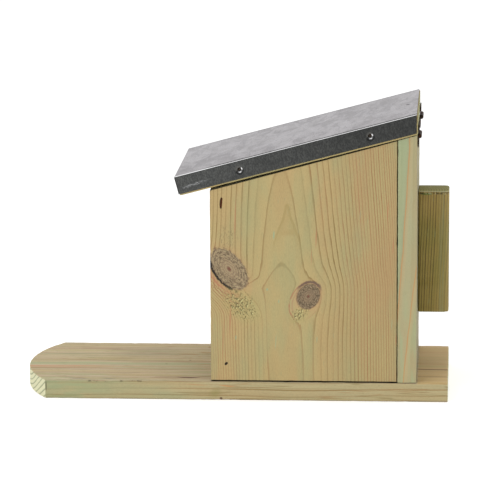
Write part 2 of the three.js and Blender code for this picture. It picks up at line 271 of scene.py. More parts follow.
def wood(
    name,
    to_abc,
    field=None,
    early="#BDAF80",
    late="#A48F5C",
    pink="#BF9366",
    green="#9BA882",
    green_amount=0.45,
    pink_amount=0.5,
    contrast=0.75,
    gain=1.0,
    seed=0.0,
    end_early="#CFCBA5",
    end_late="#9CA07C",
    panel=None,
    line_lo=0.62,
    extras=None,
    fibre=1.0,
    tint=(0.875, 0.82, 0.77),
    end_tint=(0.92, 0.93, 0.95),
):
    """Planed softwood. to_abc turns object millimetres into (along, across, through)."""
    m, t, p, xyz, nrm = new_material(name)
    a, b, c = to_abc(*xyz)
    na, _, _ = to_abc(*nrm, direction=True)
    s = seed
    wob = (noise3(a * 0.006 + s, b * 0.02 + s, c * 0.02, 2.0) - 0.5) * 2.0
    knots = []
    fine_lo = line_lo + 0.0 * a
    if panel is not None:
        rings, k1, k2, halo, du = side_field(M, b, a, c, wob, panel == "left")
        knots = [k1, k2]
        lo = 0.88 - 0.2 * smooth(M.abs(du), 6.0, 30.0)
    else:
        rings = field(a, b, c, wob)
        lo = fine_lo
    fine = noise3(a * 0.02 + s, b * 0.5, c * 0.5 + s, 1.0)
    if panel is not None:
        rings = rings + (fine - 0.5) * 0.26 * smooth(M.abs(du), 5.0, 26.0)
    else:
        rings = rings + (fine - 0.5) * 0.2
    ph = M.fract(rings)
    idx = M.floor(rings)
    line = smooth((ph - lo) / (0.955 - lo), 0.0, 1.0) * (1.0 - smooth(ph, 0.968, 1.0))
    vary = noise3(idx * 0.73 + s, a * 0.004, b * 0.0 + 3.1, 0.0)
    line = line * (0.45 + 1.0 * smooth(vary, 0.3, 0.7))
    soft = smooth(ph, 0.1, 0.95) * (1.0 - smooth(ph, 0.965, 1.0))
    pinkness = smooth(noise3(idx * 0.37 + s, a * 0.006 + s, b * 0.02, 1.0), 0.45, 0.62) * pink_amount
    zone = None
    if panel is not None:
        # rosier wood down the rear third and low at the front edge
        zone = smooth(b, 118.0, 150.0)
        zone = M.max(zone, (1.0 - smooth(b, 14.0, 34.0)) * (1.0 - smooth(a, 92.0, 125.0)))
        pinkness = M.min(pinkness + zone * 0.8, 1.0)
        calm = 0.45 + 0.55 * smooth(M.abs(du), 12.0, 36.0)
        bold = 1.0 - 0.12 * smooth(b, 98.0, 122.0) * (1.0 - smooth(b, 140.0, 152.0))
        line = M.min(line * (1.1 + 0.35 * zone) * calm * bold, 1.45)
    line_col = colour_mix(t, pinkness, srgb(late), srgb(pink))
    col = colour_mix(t, line * contrast, srgb(early), line_col)
    # warm drift between the lines and broad green drift from the preservative
    warm = smooth(noise3(a * 0.006 + s, b * 0.03 + 7.0 + s, c * 0.03, 2.0), 0.4, 0.68)
    col = colour_mix(t, warm * 0.5, col, srgb("#BFA273"))
    if zone is not None:
        rosy = smooth(noise3(a * 0.012 + s, b * 0.09, c * 0.02, 2.0), 0.35, 0.62)
        col = colour_mix(t, zone * rosy * 0.26, col, srgb("#BB976E"))
        duller = smooth(b, 96.0, 140.0)
        col = shade(t, col, 1.0 - 0.07 * duller)
    g = smooth(noise3(a * 0.009 + 5.0 + s, b * 0.035, c * 0.035 + s, 3.0, 0.6), 0.44, 0.7)
    col = colour_mix(t, g * green_amount, col, srgb(green))
    # short pores and streaks along the grain
    dash = noise3(a * 0.11 + s, b * 2.2, c * 2.2, 1.0)
    col = colour_mix(t, smooth(dash, 0.66, 0.76) * 0.32 * fibre, col, srgb("#84713F"))
    dash2 = noise3(a * 0.09 + 9.0 + s, b * 1.4 + s, c * 1.4, 1.0)
    col = colour_mix(t, smooth(dash2, 0.7, 0.78) * 0.5, col, srgb("#8FA588"))
    fib = noise3(a * 0.045 + s, b * 3.1 + s, c * 3.1, 3.0, 0.65)
    cloud = noise3(a * 0.02 + s, b * 0.05 + 2.0, c * 0.05 + s, 3.0, 0.6)
    grit = noise3(a * 0.4 + s, b * 0.95, c * 0.95 + s, 2.0, 0.75)
    level = (0.74 + 0.18 * fib + 0.1 * cloud - 0.05 * soft + 0.3 * grit) * gain
    col = shade(t, col, level)
    height = line * 0.05 + fib * 0.05 - smooth(dash, 0.66, 0.76) * 0.05
    col = colour_mix(t, 1.0, col, (*tint, 1.0), "MULTIPLY")
    rough = 0.58 + fib * 0.2 - line * 0.08
    if extras:
        col, height = extras(t, a, b, c, col, height)
    if panel is not None:
        col, height = panel_knots(t, panel, a, b, c, knots, halo, col, height, s)
    # cut ends show the rings as arcs on a paler, open-pored ground
    end = smooth(M.abs(na), 0.55, 0.8)
    arcs = smooth(ph, 0.55, 0.9) * (1.0 - smooth(ph, 0.93, 1.0))
    pores = noise3(a * 0.3, b * 2.6 + s, c * 2.6, 2.0, 0.7)
    end_col = colour_mix(t, arcs * 0.8, srgb(end_early), srgb(end_late))
    end_col = shade(t, end_col, (0.78 + 0.34 * pores + 0.08 * cloud) * gain)
    end_col = colour_mix(t, 1.0, end_col, (*end_tint, 1.0), "MULTIPLY")
    if panel is not None:
        # painted shade: the outer rim of the end grain, top and foot, is painted near-black, standing in for the shade
        # in the gaps under the lid and above the base
        painted_end_gap_shade = smooth(M.abs(xyz[0]), 74.6, 77.6)
        end_col = colour_mix(t, painted_end_gap_shade * 0.9, end_col, srgb("#1B170D"))
    col = colour_mix(t, end, col, end_col)
    height = height + end * (pores - 0.5) * 0.12
    t.links.new(col, p.inputs["Base Color"])
    t.links.new((rough + end * 0.12).s, p.inputs["Roughness"])
    p.inputs["Specular IOR Level"].default_value = 0.35
    bump(t, p, height)
    return m


def panel_knots(t, panel, a, b, c, knots, halo, col, height, s):
    """Knots of a side panel with their own rings, bark seams, reddish rims and torn grain."""
    if panel == "left":
        hearts = [(118.0, 88.0, -60.0, 19.0, 12.0), (46.0, 170.0, 50.0, 11.0, 9.0)]
    else:
        hearts = [(18.0, 127.5, -52.0, 23.6, 13.6), (93.0, 101.5, 62.0, 13.0, 10.6)]
    if panel == "right":
        # a second, sharper arch of late wood nested inside the tall one
        sway = (noise3(a * 0.06 + s, b * 0.06, c * 0.02, 1.0) - 0.5) * 5.0
        leg = M.abs(b - 73.0) * M.min(1.0 + 0.0 * a, 2.0) - (190.0 - a) * 0.33 + sway
        near = (1.0 - smooth(M.abs(leg), 0.5, 1.5)) * smooth(a, 138.0, 165.0) * (1.0 - smooth(a, 189.0, 192.0))
        col = colour_mix(t, near * 0.34, col, srgb("#8A7A44"))
        inner = smooth(leg, -9.0, -1.5) * (1.0 - smooth(leg, -1.0, -0.4)) * smooth(a, 138.0, 165.0) * (1.0 - smooth(a, 189.0, 192.0))
        col = colour_mix(t, inner * 0.16, col, srgb("#8A7A44"))
    for i, (k, (cu, cv, turn, major, minor)) in enumerate(zip(knots, hearts)):
        jag = noise3(a * 0.35 + s, b * 0.35 + i * 5.0, c * 0.1 + s, 3.0, 0.65)
        kk = k + (jag - 0.5) * 0.22
        inside = 1.0 - smooth(kk, 0.93, 1.04)
        # reddish, resin-rich wood round the rim, strongest against it
        rim = (1.0 - smooth(kk, 1.0, 1.55)) * (1.0 - inside)
        col = colour_mix(t, rim * (0.3 if i else 0.22), col, srgb("#B98A62"))
        angle = M.atan2((a - cv), (b - cu))
        spin = noise3(angle * 9.0 + s, k * 1.2, angle * 0.0 + i * 3.0 + s, 2.0, 0.7)
        ring = M.fract(kk * (7.5 if i == 0 else 6.0))
        ringline = smooth(ring, 0.5, 0.85) * (1.0 - smooth(ring, 0.9, 1.0))
        speck = noise3(a * 0.62 + s, b * 0.62, c * 0.4 + i, 3.0, 0.8, 0.8)
        body = colour_mix(t, ringline * 0.6, srgb("#A08C6C" if i == 0 else "#8A765C"), srgb("#786450" if i == 0 else "#604E3C"))
        body = colour_mix(t, smooth(spin, 0.5, 0.72) * 0.45, body, srgb("#73604C"))
        # short dark strokes that follow the knot's own rings
        stroke = noise3(angle * 4.6 + s, kk * (13.0 if i == 0 else 9.0) + i, angle * 0.0 + s, 2.0, 0.6, 0.2)
        fleck = smooth(stroke, 0.5, 0.57) * smooth(kk, 0.22, 0.6)
        body = colour_mix(t, fleck * (0.62 if i == 0 else 0.75), body, srgb("#453628"))
        fleck2 = smooth(speck, 0.55, 0.61) * smooth(kk, 0.45, 0.85)
        body = colour_mix(t, fleck2 * (0.32 if i == 0 else 0.35), body, srgb("#3E3226"))
        pale = smooth(noise3(angle * 4.1 + 4.0, kk * 15.0 + s, c * 0.0, 2.0, 0.7), 0.58, 0.66) * smooth(kk, 0.3, 0.8)
        body = colour_mix(t, pale * (0.5 if i == 0 else 0.3), body, srgb("#B9AC86"))
        heart = 1.0 - smooth(k + (speck - 0.5) * 0.1, 0.05, 0.15)
        body = colour_mix(t, heart * 0.9, body, srgb("#6A3A2E"))
        check = (1.0 - smooth(M.abs(spin - 0.5), 0.0, 0.02)) * (1.0 - smooth(k, 0.3, 0.6)) * smooth(k, 0.06, 0.14)
        body = colour_mix(t, check * 0.6, body, srgb("#73432F"))
        col = colour_mix(t, inside * 0.95, col, body)
        # dark broken outline, nearly black where bark is trapped
        edge = smooth(kk, 0.9, 0.99) * (1.0 - smooth(kk, 1.0, 1.09))
        broken = smooth(noise3(a * 0.3 + s, b * 0.3 + i * 9.0, c * 0.1, 2.0), 0.42, 0.6)
        col = colour_mix(t, edge * broken * 0.55, col, srgb("#6E4E3E"))
        if i == 0 and panel != "left":
            seam = smooth(kk, 0.93, 0.98) * (1.0 - smooth(kk, 1.07, 1.13))
            # the seam lies on the knot's lower left
            da, db = a - cv, b - cu
            flank = smooth(-1.0 * (da * 0.62 + db * 0.79), 5.0, 10.0)
            flank = flank * smooth(noise3(a * 0.2, b * 0.2, c * 0.1, 2.0), 0.3, 0.45)
            # rosy lines swept round the knot's lower left
            sweep = M.fract(kk * 5.2 + (jag - 0.5) * 0.4)
            swept = smooth(sweep, 0.5, 0.8) * (1.0 - smooth(sweep, 0.86, 0.98)) * smooth(kk, 1.1, 1.2) * (1.0 - smooth(kk, 1.6, 2.1))
            side = smooth(-1.0 * (da * 0.5 + db * 0.87), 4.0, 10.0) * (1.0 - smooth(b, 26.0, 34.0))
            col = colour_mix(t, swept * side * 0.8, col, srgb("#96604A"))
            col = colour_mix(t, seam * flank * 0.97, col, srgb("#1D1410"))
            height = height - seam * flank * 0.6
            col = colour_mix(t, smooth(kk, 1.1, 1.2) * (1.0 - smooth(kk, 1.3, 1.5)) * flank * 0.5, col, srgb("#B07858"))
        if i == 1:
            # a second, open reddish ring outside the knot on its upper left
            fray = noise3(a * 0.16 + s, b * 0.16, c * 0.1, 2.0)
            hh = halo + (fray - 0.5) * 0.16
            left_side = smooth((cu - b) + (a - cv) * 0.45, 0.0, 8.0)
            ringy = smooth(hh, 0.88, 0.94) * (1.0 - smooth(hh, 0.95, 1.01))
            col = colour_mix(t, ringy * (0.25 + 0.5 * left_side) * smooth(fray, 0.36, 0.55), col, srgb("#A06A50"))
            ring2 = smooth(hh, 0.7, 0.76) * (1.0 - smooth(hh, 0.77, 0.84)) * (1.0 - inside)
            col = colour_mix(t, ring2 * left_side * 0.5, col, srgb("#9A6E58"))
            inner = (1.0 - smooth(hh, 0.85, 1.0)) * (1.0 - inside)
            col = colour_mix(t, inner * 0.16, col, srgb("#BC966C"))
            crown = smooth(kk, 1.0, 1.06) * (1.0 - smooth(kk, 1.14, 1.3)) * smooth(a - cv, 4.0, 11.0)
            col = colour_mix(t, crown * 0.85, col, srgb("#5E4A42"))
        height = height + inside * ((speck - 0.5) * 0.35 - fleck * 0.18 + ringline * 0.05) - heart * 0.25 - edge * broken * 0.2
        # torn grain below each knot: dark ticks, each with a pale lip, thinning outwards
        tu, tv, tr = (cu + 11.0, cv - 35.0, 25.0) if i == 0 else (cu - 8.0, cv - 17.5, 12.5)
        d = knot_distance(M, b, a, tu, tv, tr, tr * 0.66, -42.0 if i == 0 else 35.0)
        torn = (1.0 - smooth(d + (jag - 0.5) * 0.5, 0.5, 1.1)) * (1.0 - inside)
        tick = noise3(a * 0.42 + b * 0.2 + s, b * 0.62 - a * 0.16 + s, c * 0.4, 2.0, 0.75)
        lip = noise3((a + 0.9) * 0.42 + (b - 0.9) * 0.2 + s, (b - 0.9) * 0.62 - (a + 0.9) * 0.16 + s, c * 0.4, 2.0, 0.75)
        need = 0.53 + 0.12 * smooth(d, 0.1, 1.0)
        cream = smooth(lip - need, 0.0, 0.04) * torn
        dark = smooth(tick - need, 0.0, 0.04) * torn
        col = colour_mix(t, torn * 0.3, col, srgb("#A9A468"))
        col = colour_mix(t, cream * 0.8, col, srgb("#D2CB8E"))
        col = colour_mix(t, dark * 0.7, col, srgb("#5E5830"))
        height = height + (cream * 0.4 - dark * 0.5)
    if panel != "left":
        # grain drawn up short and dark above the first knot
        d = knot_distance(M, b, a, 16.0, 157.0, 15.0, 11.0, 90.0)
        near = 1.0 - smooth(d, 0.4, 1.1)
        wisp = noise3(a * 0.2 + b * 0.16 + s, b * 0.95 - a * 0.2, c * 0.4, 3.0, 0.75)
        col = colour_mix(t, near * smooth(wisp, 0.54, 0.6) * 0.8, col, srgb("#7A6A4A"))
        col = colour_mix(t, near * 0.16, col, srgb("#9A9468"))
        # faint dusky patch under the upper crest
        d = knot_distance(M, b, a, 74.0, 163.0, 9.0, 4.0, 10.0)
        col = colour_mix(t, (1.0 - smooth(d, 0.2, 1.2)) * 0.3, col, srgb("#9C8350"))
    return col, height


# directions of grain: (along, across, through) in millimetres from each board's own corner
def along_z(x0, y0, across="y", sign=1.0):
    def f(x, y, z, direction=False):
        o = 0.0 if direction else 1.0
        if across == "y":
            return z, y - y0 * o, (x - x0 * o) * sign
        return z, x - x0 * o, (y - y0 * o) * sign

    return f


def along_y(x, y, z, direction=False):
    return y, x, z


SLOPE = math.radians(14.85)
CS, SN = math.cos(SLOPE), math.sin(SLOPE)


def along_slope(x, y, z, direction=False):
    return y * CS + z * SN, x, z * CS - y * SN


def plain_rings(b0, c0, spacing, drift=0.0, sway=1.2):
    def f(a, b, c, wob):
        db, dc = b - b0, c - c0
        return (M.sqrt(db * db + dc * dc) + wob * sway + a * drift) / spacing

    return f


# =====================================================================================
# meshes
# =====================================================================================
def finish_mesh(bm, name, smooth_deg=35.0):
    bmesh.ops.recalc_face_normals(bm, faces=bm.faces)
    me = bpy.data.meshes.new(name)
    bm.to_mesh(me)
    bm.free()
    return as_object(me, name, smooth_deg)


def as_object(me, name, smooth_deg=35.0):
    for f in me.polygons:
        f.use_smooth = True
    me.set_sharp_from_angle(angle=math.radians(smooth_deg))
    ob = bpy.data.objects.new(name, me)
    bpy.context.scene.collection.objects.link(ob)
    return ob


def prism(outline, c0, c1, place, bevel=0.8, segs=3, min_angle=30.0):
    """A closed prism from an outline in millimetres; place(a, b, c) gives the point in mm."""
    bm = bmesh.new()
    rows = []
    for c in (c0, c1):
        rows.append([bm.verts.new(Vector(place(a, b, c)) * MM) for a, b in outline])
    n = len(outline)
    bm.faces.new(rows[0])
    bm.faces.new(rows[1])
    for i in range(n):
        j = (i + 1) % n
        bm.faces.new((rows[0][i], rows[0][j], rows[1][j], rows[1][i]))
    bmesh.ops.recalc_face_normals(bm, faces=bm.faces)
    if bevel:
        bm.normal_update()
        edges = [e for e in bm.edges if math.degrees(e.calc_face_angle(0)) > min_angle]
        bmesh.ops.bevel(
            bm, geom=edges, offset=bevel * MM, segments=segs, profile=0.5,
            affect="EDGES", clamp_overlap=True,
        )
    return bm


def slice_grid(bm, steps):
    """Cuts the mesh by planes every so many mm: steps is {axis: (first, last, step)}."""
    for axis, (lo, hi, step) in steps.items():
        n = max(1, int(round((hi - lo) / step)))
        for i in range(1, n):
            at = Vector((0, 0, 0))
            at[axis] = (lo + (hi - lo) * i / n) * MM
            no = Vector((0, 0, 0))
            no[axis] = 1.0
            bmesh.ops.bisect_plane(
                bm, geom=bm.verts[:] + bm.edges[:] + bm.faces[:], dist=1e-7,
                plane_co=at, plane_no=no,
            )


def weather(bm, face_mm=0.06, edge_mm=0.45, seed=0.0):
    """Wears the arrises unevenly and takes the dead flatness off planed faces, inwards only."""
    bm.normal_update()
    moves = []
    for v in bm.verts:
        if not v.link_faces:
            continue
        tight = min(
            f.normal.dot(g.normal) for f in v.link_faces for g in v.link_faces
        )
        p = v.co * 1000.0
        n1 = noise.noise(Vector((p.x * 0.05 + seed, p.y * 0.05, p.z * 0.05)))
        if tight < 0.98:
            n2 = noise.noise(Vector((p.x * 0.16, p.y * 0.16 + seed, p.z * 0.16)))
            n3 = noise.noise(Vector((p.x * 0.55, p.y * 0.55, p.z * 0.55 + seed)))
            deep = max(0.0, n2 * 0.9 + n3 * 0.6) * edge_mm
            moves.append((v, v.normal * -(deep * MM)))
        else:
            moves.append((v, v.normal * -((n1 * 0.5 + 0.5) * face_mm * MM)))
    for v, d in moves:
        v.co += d


def turned(profile, at, direction, segs=20):
    """A closed turned solid from [radius, distance] in mm, axis first to last."""
    bm = bmesh.new()
    q = Vector((0, 0, 1)).rotation_difference(Vector(direction).normalized())
    rings = []
    for r, h in profile:
        if r < 1e-9:
            rings.append([bm.verts.new((0, 0, h))])
        else:
            rings.append(
                [
                    bm.verts.new((r * math.cos(2 * math.pi * i / segs), r * math.sin(2 * math.pi * i / segs), h))
                    for i in range(segs)
                ]
            )
    for lo, hi in zip(rings, rings[1:]):
        for i in range(segs):
            j = (i + 1) % segs
            if len(lo) == 1 and len(hi) == 1:
                continue
            if len(lo) == 1:
                bm.faces.new((lo[0], hi[j], hi[i]))
            elif len(hi) == 1:
                bm.faces.new((lo[i], lo[j], hi[0]))
            else:
                bm.faces.new((lo[i], lo[j], hi[j], hi[i]))
    bmesh.ops.recalc_face_normals(bm, faces=bm.faces)
    for v in bm.verts:
        v.co = (q @ v.co + Vector(at)) * MM
    return bm


def temp(bm, name="cutter"):
    bmesh.ops.recalc_face_normals(bm, faces=bm.faces)
    me = bpy.data.meshes.new(name)
    bm.to_mesh(me)
    bm.free()
    ob = bpy.data.objects.new(name, me)
    bpy.context.scene.collection.objects.link(ob)
    return ob


def carve(ob, cutters, smooth_deg=35.0):
    """Subtracts closed cutters from ob and keeps the result as its mesh."""
    for k in cutters:
        mod = ob.modifiers.new("cut", "BOOLEAN")
        mod.operation = "DIFFERENCE"
        mod.solver = "EXACT"
        mod.object = k
    dg = bpy.context.evaluated_depsgraph_get()
    me = bpy.data.meshes.new_from_object(ob.evaluated_get(dg))
    ob.modifiers.clear()
    old = ob.data
    ob.data = me
    bpy.data.meshes.remove(old)
    for k in cutters:
        d = k.data
        bpy.data.objects.remove(k)
        bpy.data.meshes.remove(d)
    for f in me.polygons:
        f.use_smooth = True
    me.set_sharp_from_angle(angle=math.radians(smooth_deg))
    return ob


def dress(ob, material, body, slot, *nodes):
    ob.data.materials.clear()
    ob.data.materials.append(material)
    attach(ob, body)
    if nodes:
        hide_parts(*nodes)
    return ob


def mm(v):
    return [c * 1000.0 for c in v]


def mid(node):
    lo, hi = B[node]
    return mm((lo + hi) / 2)


# ---- outline numbers, mm ----
W2 = base_hi.x * 1000
REAR = base_hi.y * 1000
TIP = base_lo.y * 1000
T = base_hi.z * 1000
BOX_FRONT = side_lo.y * 1000
SIDE_REAR = side_hi.y * 1000
SIDE_IN = side_lo.x * 1000
BACK_F, BACK_R = back_lo.y * 1000, back_hi.y * 1000
TOP_SLOPE = math.tan(math.radians(15.25))
side_top = lambda y: 202.9 + (y - BOX_FRONT) * TOP_SLOPE

# ---- landing board ----
SAG = 24.1
R_TIP = (W2 * W2 + SAG * SAG) / (2 * SAG)
outline = []
half = math.asin(W2 / R_TIP)
for i in range(49):
    th = -half + 2 * half * i / 48
    outline.append((R_TIP * math.sin(th), TIP + R_TIP - R_TIP * math.cos(th)))
outline += [(W2, REAR), (-W2, REAR)]
bm = prism(outline, 0.0, T, lambda a, b, c: (a, b, c), bevel=0.9)
slice_grid(bm, {1: (TIP, REAR, 4.5), 0: (-W2, W2, 10.0)})
weather(bm, seed=3.0, edge_mm=0.55)
base = finish_mesh(bm, "landing_board")
heads = [n for n in B if n.startswith(("right_base_screw", "left_base_screw", "base_screw"))]
carve(
    base,
    [
        temp(turned([(0, -2), (4.3, -2), (4.3, 0.9), (2.2, 3.4), (0, 3.4)], (mid(n)[0], mid(n)[1], 0.0), (0, 0, 1)))
        for n in heads
    ]
    + [
        # small check in the rear end, seen at the near corner
        temp(prism([(REAR - 3.6, 0), (REAR + 1, 0.45), (REAR + 1, -0.45)], W2 - 7.0, W2 + 1.0,
                   lambda a, b, c: (c, a, b + 14.6), bevel=0)),
    ],
)


def base_extras(t, a, b, c, col, height):
    # rose and straw bands along the top, an orange line and a green band near the near edge
    top = smooth(c, T - 1.2, T - 0.5)
    band = noise3(a * 0.003, b * 0.13, c * 0.0 + 1.0, 3.0, 0.7)
    col = colour_mix(t, top * smooth(band, 0.4, 0.52) * 0.7, col, srgb("#C0AC90"))
    col = colour_mix(t, top * smooth(band, 0.54, 0.62) * 0.75, col, srgb("#ABAA80"))
    for at, k, colour in ((0.5, 0.55, "#8F7650"), (0.42, 0.5, "#A2785A"), (0.58, 0.4, "#7F7850")):
        thin = noise3(a * 0.0035 + at * 9.0, b * 0.085, c * 0.06 + 3.0, 2.0, 0.6)
        near = 1.0 - smooth(M.abs(thin - at), 0.004, 0.016)
        col = colour_mix(t, top * near * k, col, srgb(colour))
    for at, k, colour in ((0.47, 0.5, "#8E7A48"), (0.54, 0.4, "#A77F50")):
        thin = noise3(a * 0.004 + at * 5.0, b * 0.02, c * 0.17 + 3.0, 1.0, 0.6)
        near = 1.0 - smooth(M.abs(thin - at), 0.004, 0.02)
        col = colour_mix(t, (1.0 - top) * near * k, col, srgb(colour))
    # the foot of the near face is bruised dark along its arris
    foot_line = (1.0 - smooth(c, 0.3, 1.3)) * smooth(b, 77.0, 79.0)
    col = colour_mix(t, foot_line * 0.55, col, srgb("#6E5A34"))
    # painted shade: a near-black strip on the top beneath the outer part of the panels, seen only through the gap under
    # them
    painted_under_box_shade = top * smooth(M.abs(b), W2 - 7.5, W2 - 4.5) * (1.0 - smooth(M.abs(b), W2 - 1.3, W2 - 0.5)) * smooth(a, BOX_FRONT - 1.0, BOX_FRONT + 0.5) * (1.0 - smooth(a, BACK_R - 1.0, BACK_R))
    col = colour_mix(t, painted_under_box_shade * 0.95, col, srgb("#15130B"))
    # crisp short flecks along the grain
    crisp = noise3(a * 0.05, b * 0.5, c * 0.5, 2.0, 0.75)
    col = colour_mix(t, top * (1.0 - painted_under_box_shade) * smooth(crisp, 0.6, 0.68) * 0.45, col, srgb("#80754A"))
    crisp = noise3(a * 0.04 + 7.0, b * 0.4 + 3.0, c * 0.4, 2.0, 0.75)
    col = colour_mix(t, top * (1.0 - painted_under_box_shade) * smooth(crisp, 0.6, 0.68) * 0.4, col, srgb("#D0C4A6"))
    sway = (noise3(a * 0.012, b * 0.0 + 2.0, c * 0.0, 1.0) - 0.5) * 10.0
    faded = 1.0 - smooth(a, -165.0, -105.0)
    d = M.abs(b - 22.5 - sway)
    col = colour_mix(t, top * faded * (1.0 - smooth(d, 0.9, 3.4)) * 0.75, col, srgb("#C79272"))
    d = M.abs(b - 28.0 - sway)
    col = colour_mix(t, top * faded * (1.0 - smooth(d, 0.6, 2.4)) * 0.7, col, srgb("#9A6E48"))
    for at, wide, colour, k in ((21.0, 1.6, "#B5875F", 0.35), (31.0, 1.3, "#A9855C", 0.45), (66.0, 1.2, "#9A7E56", 0.4), (-2.0, 2.0, "#94805A", 0.4), (-52.0, 2.4, "#A8866A", 0.35), (9.0, 4.5, "#A0AA80", 0.6), (47.0, 2.2, "#B0946C", 0.35), (-30.0, 3.0, "#9FA27A", 0.4)):
        d = M.abs(b - at - sway)
        col = colour_mix(t, top * (1.0 - smooth(d, wide * 0.4, wide * 1.4)) * k, col, srgb(colour))
    # dusky smudge and a dark resin streak
    d = knot_distance(M, b, a, -38.0, -92.0, 46.0, 26.0, 90.0)
    col = colour_mix(t, top * (1.0 - smooth(d, 0.2, 1.2)) * 0.3, col, srgb("#94846A"))
    d = knot_distance(M, b, a, 68.5, -62.0, 22.0, 2.6, 88.0)
    col = colour_mix(t, top * (1.0 - smooth(d, 0.2, 1.0)) * 0.5, col, srgb("#84683F"))
    # dark resin lens and rusty streaks beside the box
    for sa, sb, long, wide, colour, k in (
        (-44.0, 65.0, 14.0, 3.8, "#664832", 0.9), (-58.0, 62.5, 22.0, 1.6, "#8A6A44", 0.6), (-30.0, 60.0, 12.0, 2.0, "#8A6A44", 0.5),
        (-52.0, -33.0, 14.0, 2.0, "#A37C44", 0.75), (-33.0, -40.0, 12.0, 2.2, "#A37C44", 0.7), (-27.0, -22.0, 10.0, 1.8, "#94784A", 0.6),
        (-33.0, -64.0, 2.6, 2.4, "#9A7038", 0.8), (-30.0, 12.0, 16.0, 1.8, "#B07E50", 0.7), (-26.0, 26.0, 9.0, 1.8, "#B48A5C", 0.5),
        (-70.0, 10.0, 2.0, 1.6, "#5E5038", 0.6), (-48.0, -6.0, 1.4, 1.8, "#5E5038", 0.6), (-120.0, 72.0, 9.0, 2.2, "#8B8270", 0.6),
        (-148.0, 73.0, 12.0, 3.0, "#8B8270", 0.55), (-158.0, 69.0, 7.0, 2.0, "#8B8270", 0.5),
    ):
        d = knot_distance(M, a, b + (noise3(a * 0.08, b * 0.0, c * 0.0 + sa, 2.0) - 0.5) * 6.0, sa, sb, long, wide, 2.0)
        col = colour_mix(t, top * (1.0 - smooth(d, 0.35, 1.1)) * k, col, srgb(colour))
    # knotty disturbed streaks by the box on the far half
    d = knot_distance(M, b, a, -20.0, -45.0, 44.0, 26.0, 90.0)
    wisp = noise3(a * 0.07, b * 0.42 + a * 0.012, c * 0.0, 2.0, 0.65)
    col = colour_mix(t, top * (1.0 - smooth(d, 0.4, 1.1)) * smooth(wisp, 0.55, 0.64) * 0.6, col, srgb("#A98453"))
    # bruised near top arris
    arris = smooth(b, 77.6, 79.4) * smooth(c, 15.6, 17.4)
    bite = noise3(a * 0.09, b * 0.1, c * 0.1, 3.0, 0.7)
    reach = smooth(a, -165.0, -140.0) * (1.0 - smooth(a, -95.0, -70.0))
    col = colour_mix(t, arris * smooth(bite, 0.52, 0.62) * reach * 0.8, col, srgb("#5E5038"))
    # warmer, paler timber behind the box, partly painted light that lifts the box's shade, crossed by one dark line
    rear_part = top * smooth(a, BACK_R, BACK_R + 2.0)
    col = colour_mix(t, rear_part * 0.55, col, srgb("#D0AC6C"))
    col = colour_mix(t, rear_part * (1.0 - smooth(M.abs(b - 22.0 - (a - 180.0) * 0.05), 0.8, 2.4)) * 0.8, col, srgb("#6E5030"))
    col = colour_mix(t, rear_part * (1.0 - smooth(M.abs(b - 52.0), 0.8, 3.0)) * 0.5, col, srgb("#8E6E44"))
    # near side face: green bloom at the free end, a small spike knot, an orange streak
    face = smooth(b, 78.8, 79.6)
    # painted shade: the near side face is darkened against the top
    col = colour_mix(t, face, col, shade(t, col, 0.84 + 0.0 * a))
    bloom = (1.0 - smooth(a, -150.0, -95.0)) * smooth(noise3(a * 0.02, b * 0.1, c * 0.12, 3.0, 0.6), 0.35, 0.6)
    col = colour_mix(t, face * bloom * 0.6, col, srgb("#8F9C74"))
    d = knot_distance(M, a, c, -17.0, 6.5, 8.0, 6.0, 30.0)
    col = colour_mix(t, face * (1.0 - smooth(d, 0.15, 1.1)) * 0.55, col, srgb("#8C8550"))
    d = knot_distance(M, a, c, -11.5, 1.6, 1.6, 1.3, 0.0)
    col = colour_mix(t, face * (1.0 - smooth(d, 0.5, 1.1)) * 0.9, col, srgb("#503226"))
    d = knot_distance(M, a, c, -6.0, 13.6, 9.0, 0.9, -6.0)
    col = colour_mix(t, face * (1.0 - smooth(d, 0.3, 1.1)) * 0.7, col, srgb("#BD8552"))
    d = knot_distance(M, a, c, -179.4, 12.0, 0.9, 6.0, 0.0)
    col = colour_mix(t, smooth(b, 77.5, 79.0) * (1.0 - smooth(d, 0.5, 1.1)) * 0.65, col, srgb("#4A4630"))
    d = knot_distance(M, a, c, -35.0, 14.5, 14.0, 0.9, -4.0)
    col = colour_mix(t, face * (1.0 - smooth(d, 0.3, 1.1)) * 0.35, col, srgb("#B58350"))
    return col, height


base_mat = wood(
    "pine_landing_board", along_y, plain_rings(22.0, 78.0, 4.7, drift=0.006, sway=2.4),
    early="#BFB188", late="#97804F", green_amount=0.45, seed=2.0, gain=1.0, extras=base_extras, contrast=0.85,
    line_lo=0.72, tint=(0.95, 0.96, 0.93), end_late="#7E8462", end_tint=(1.05, 1.07, 1.1),
)
dress(base, base_mat, "box", "pine", "base_board")


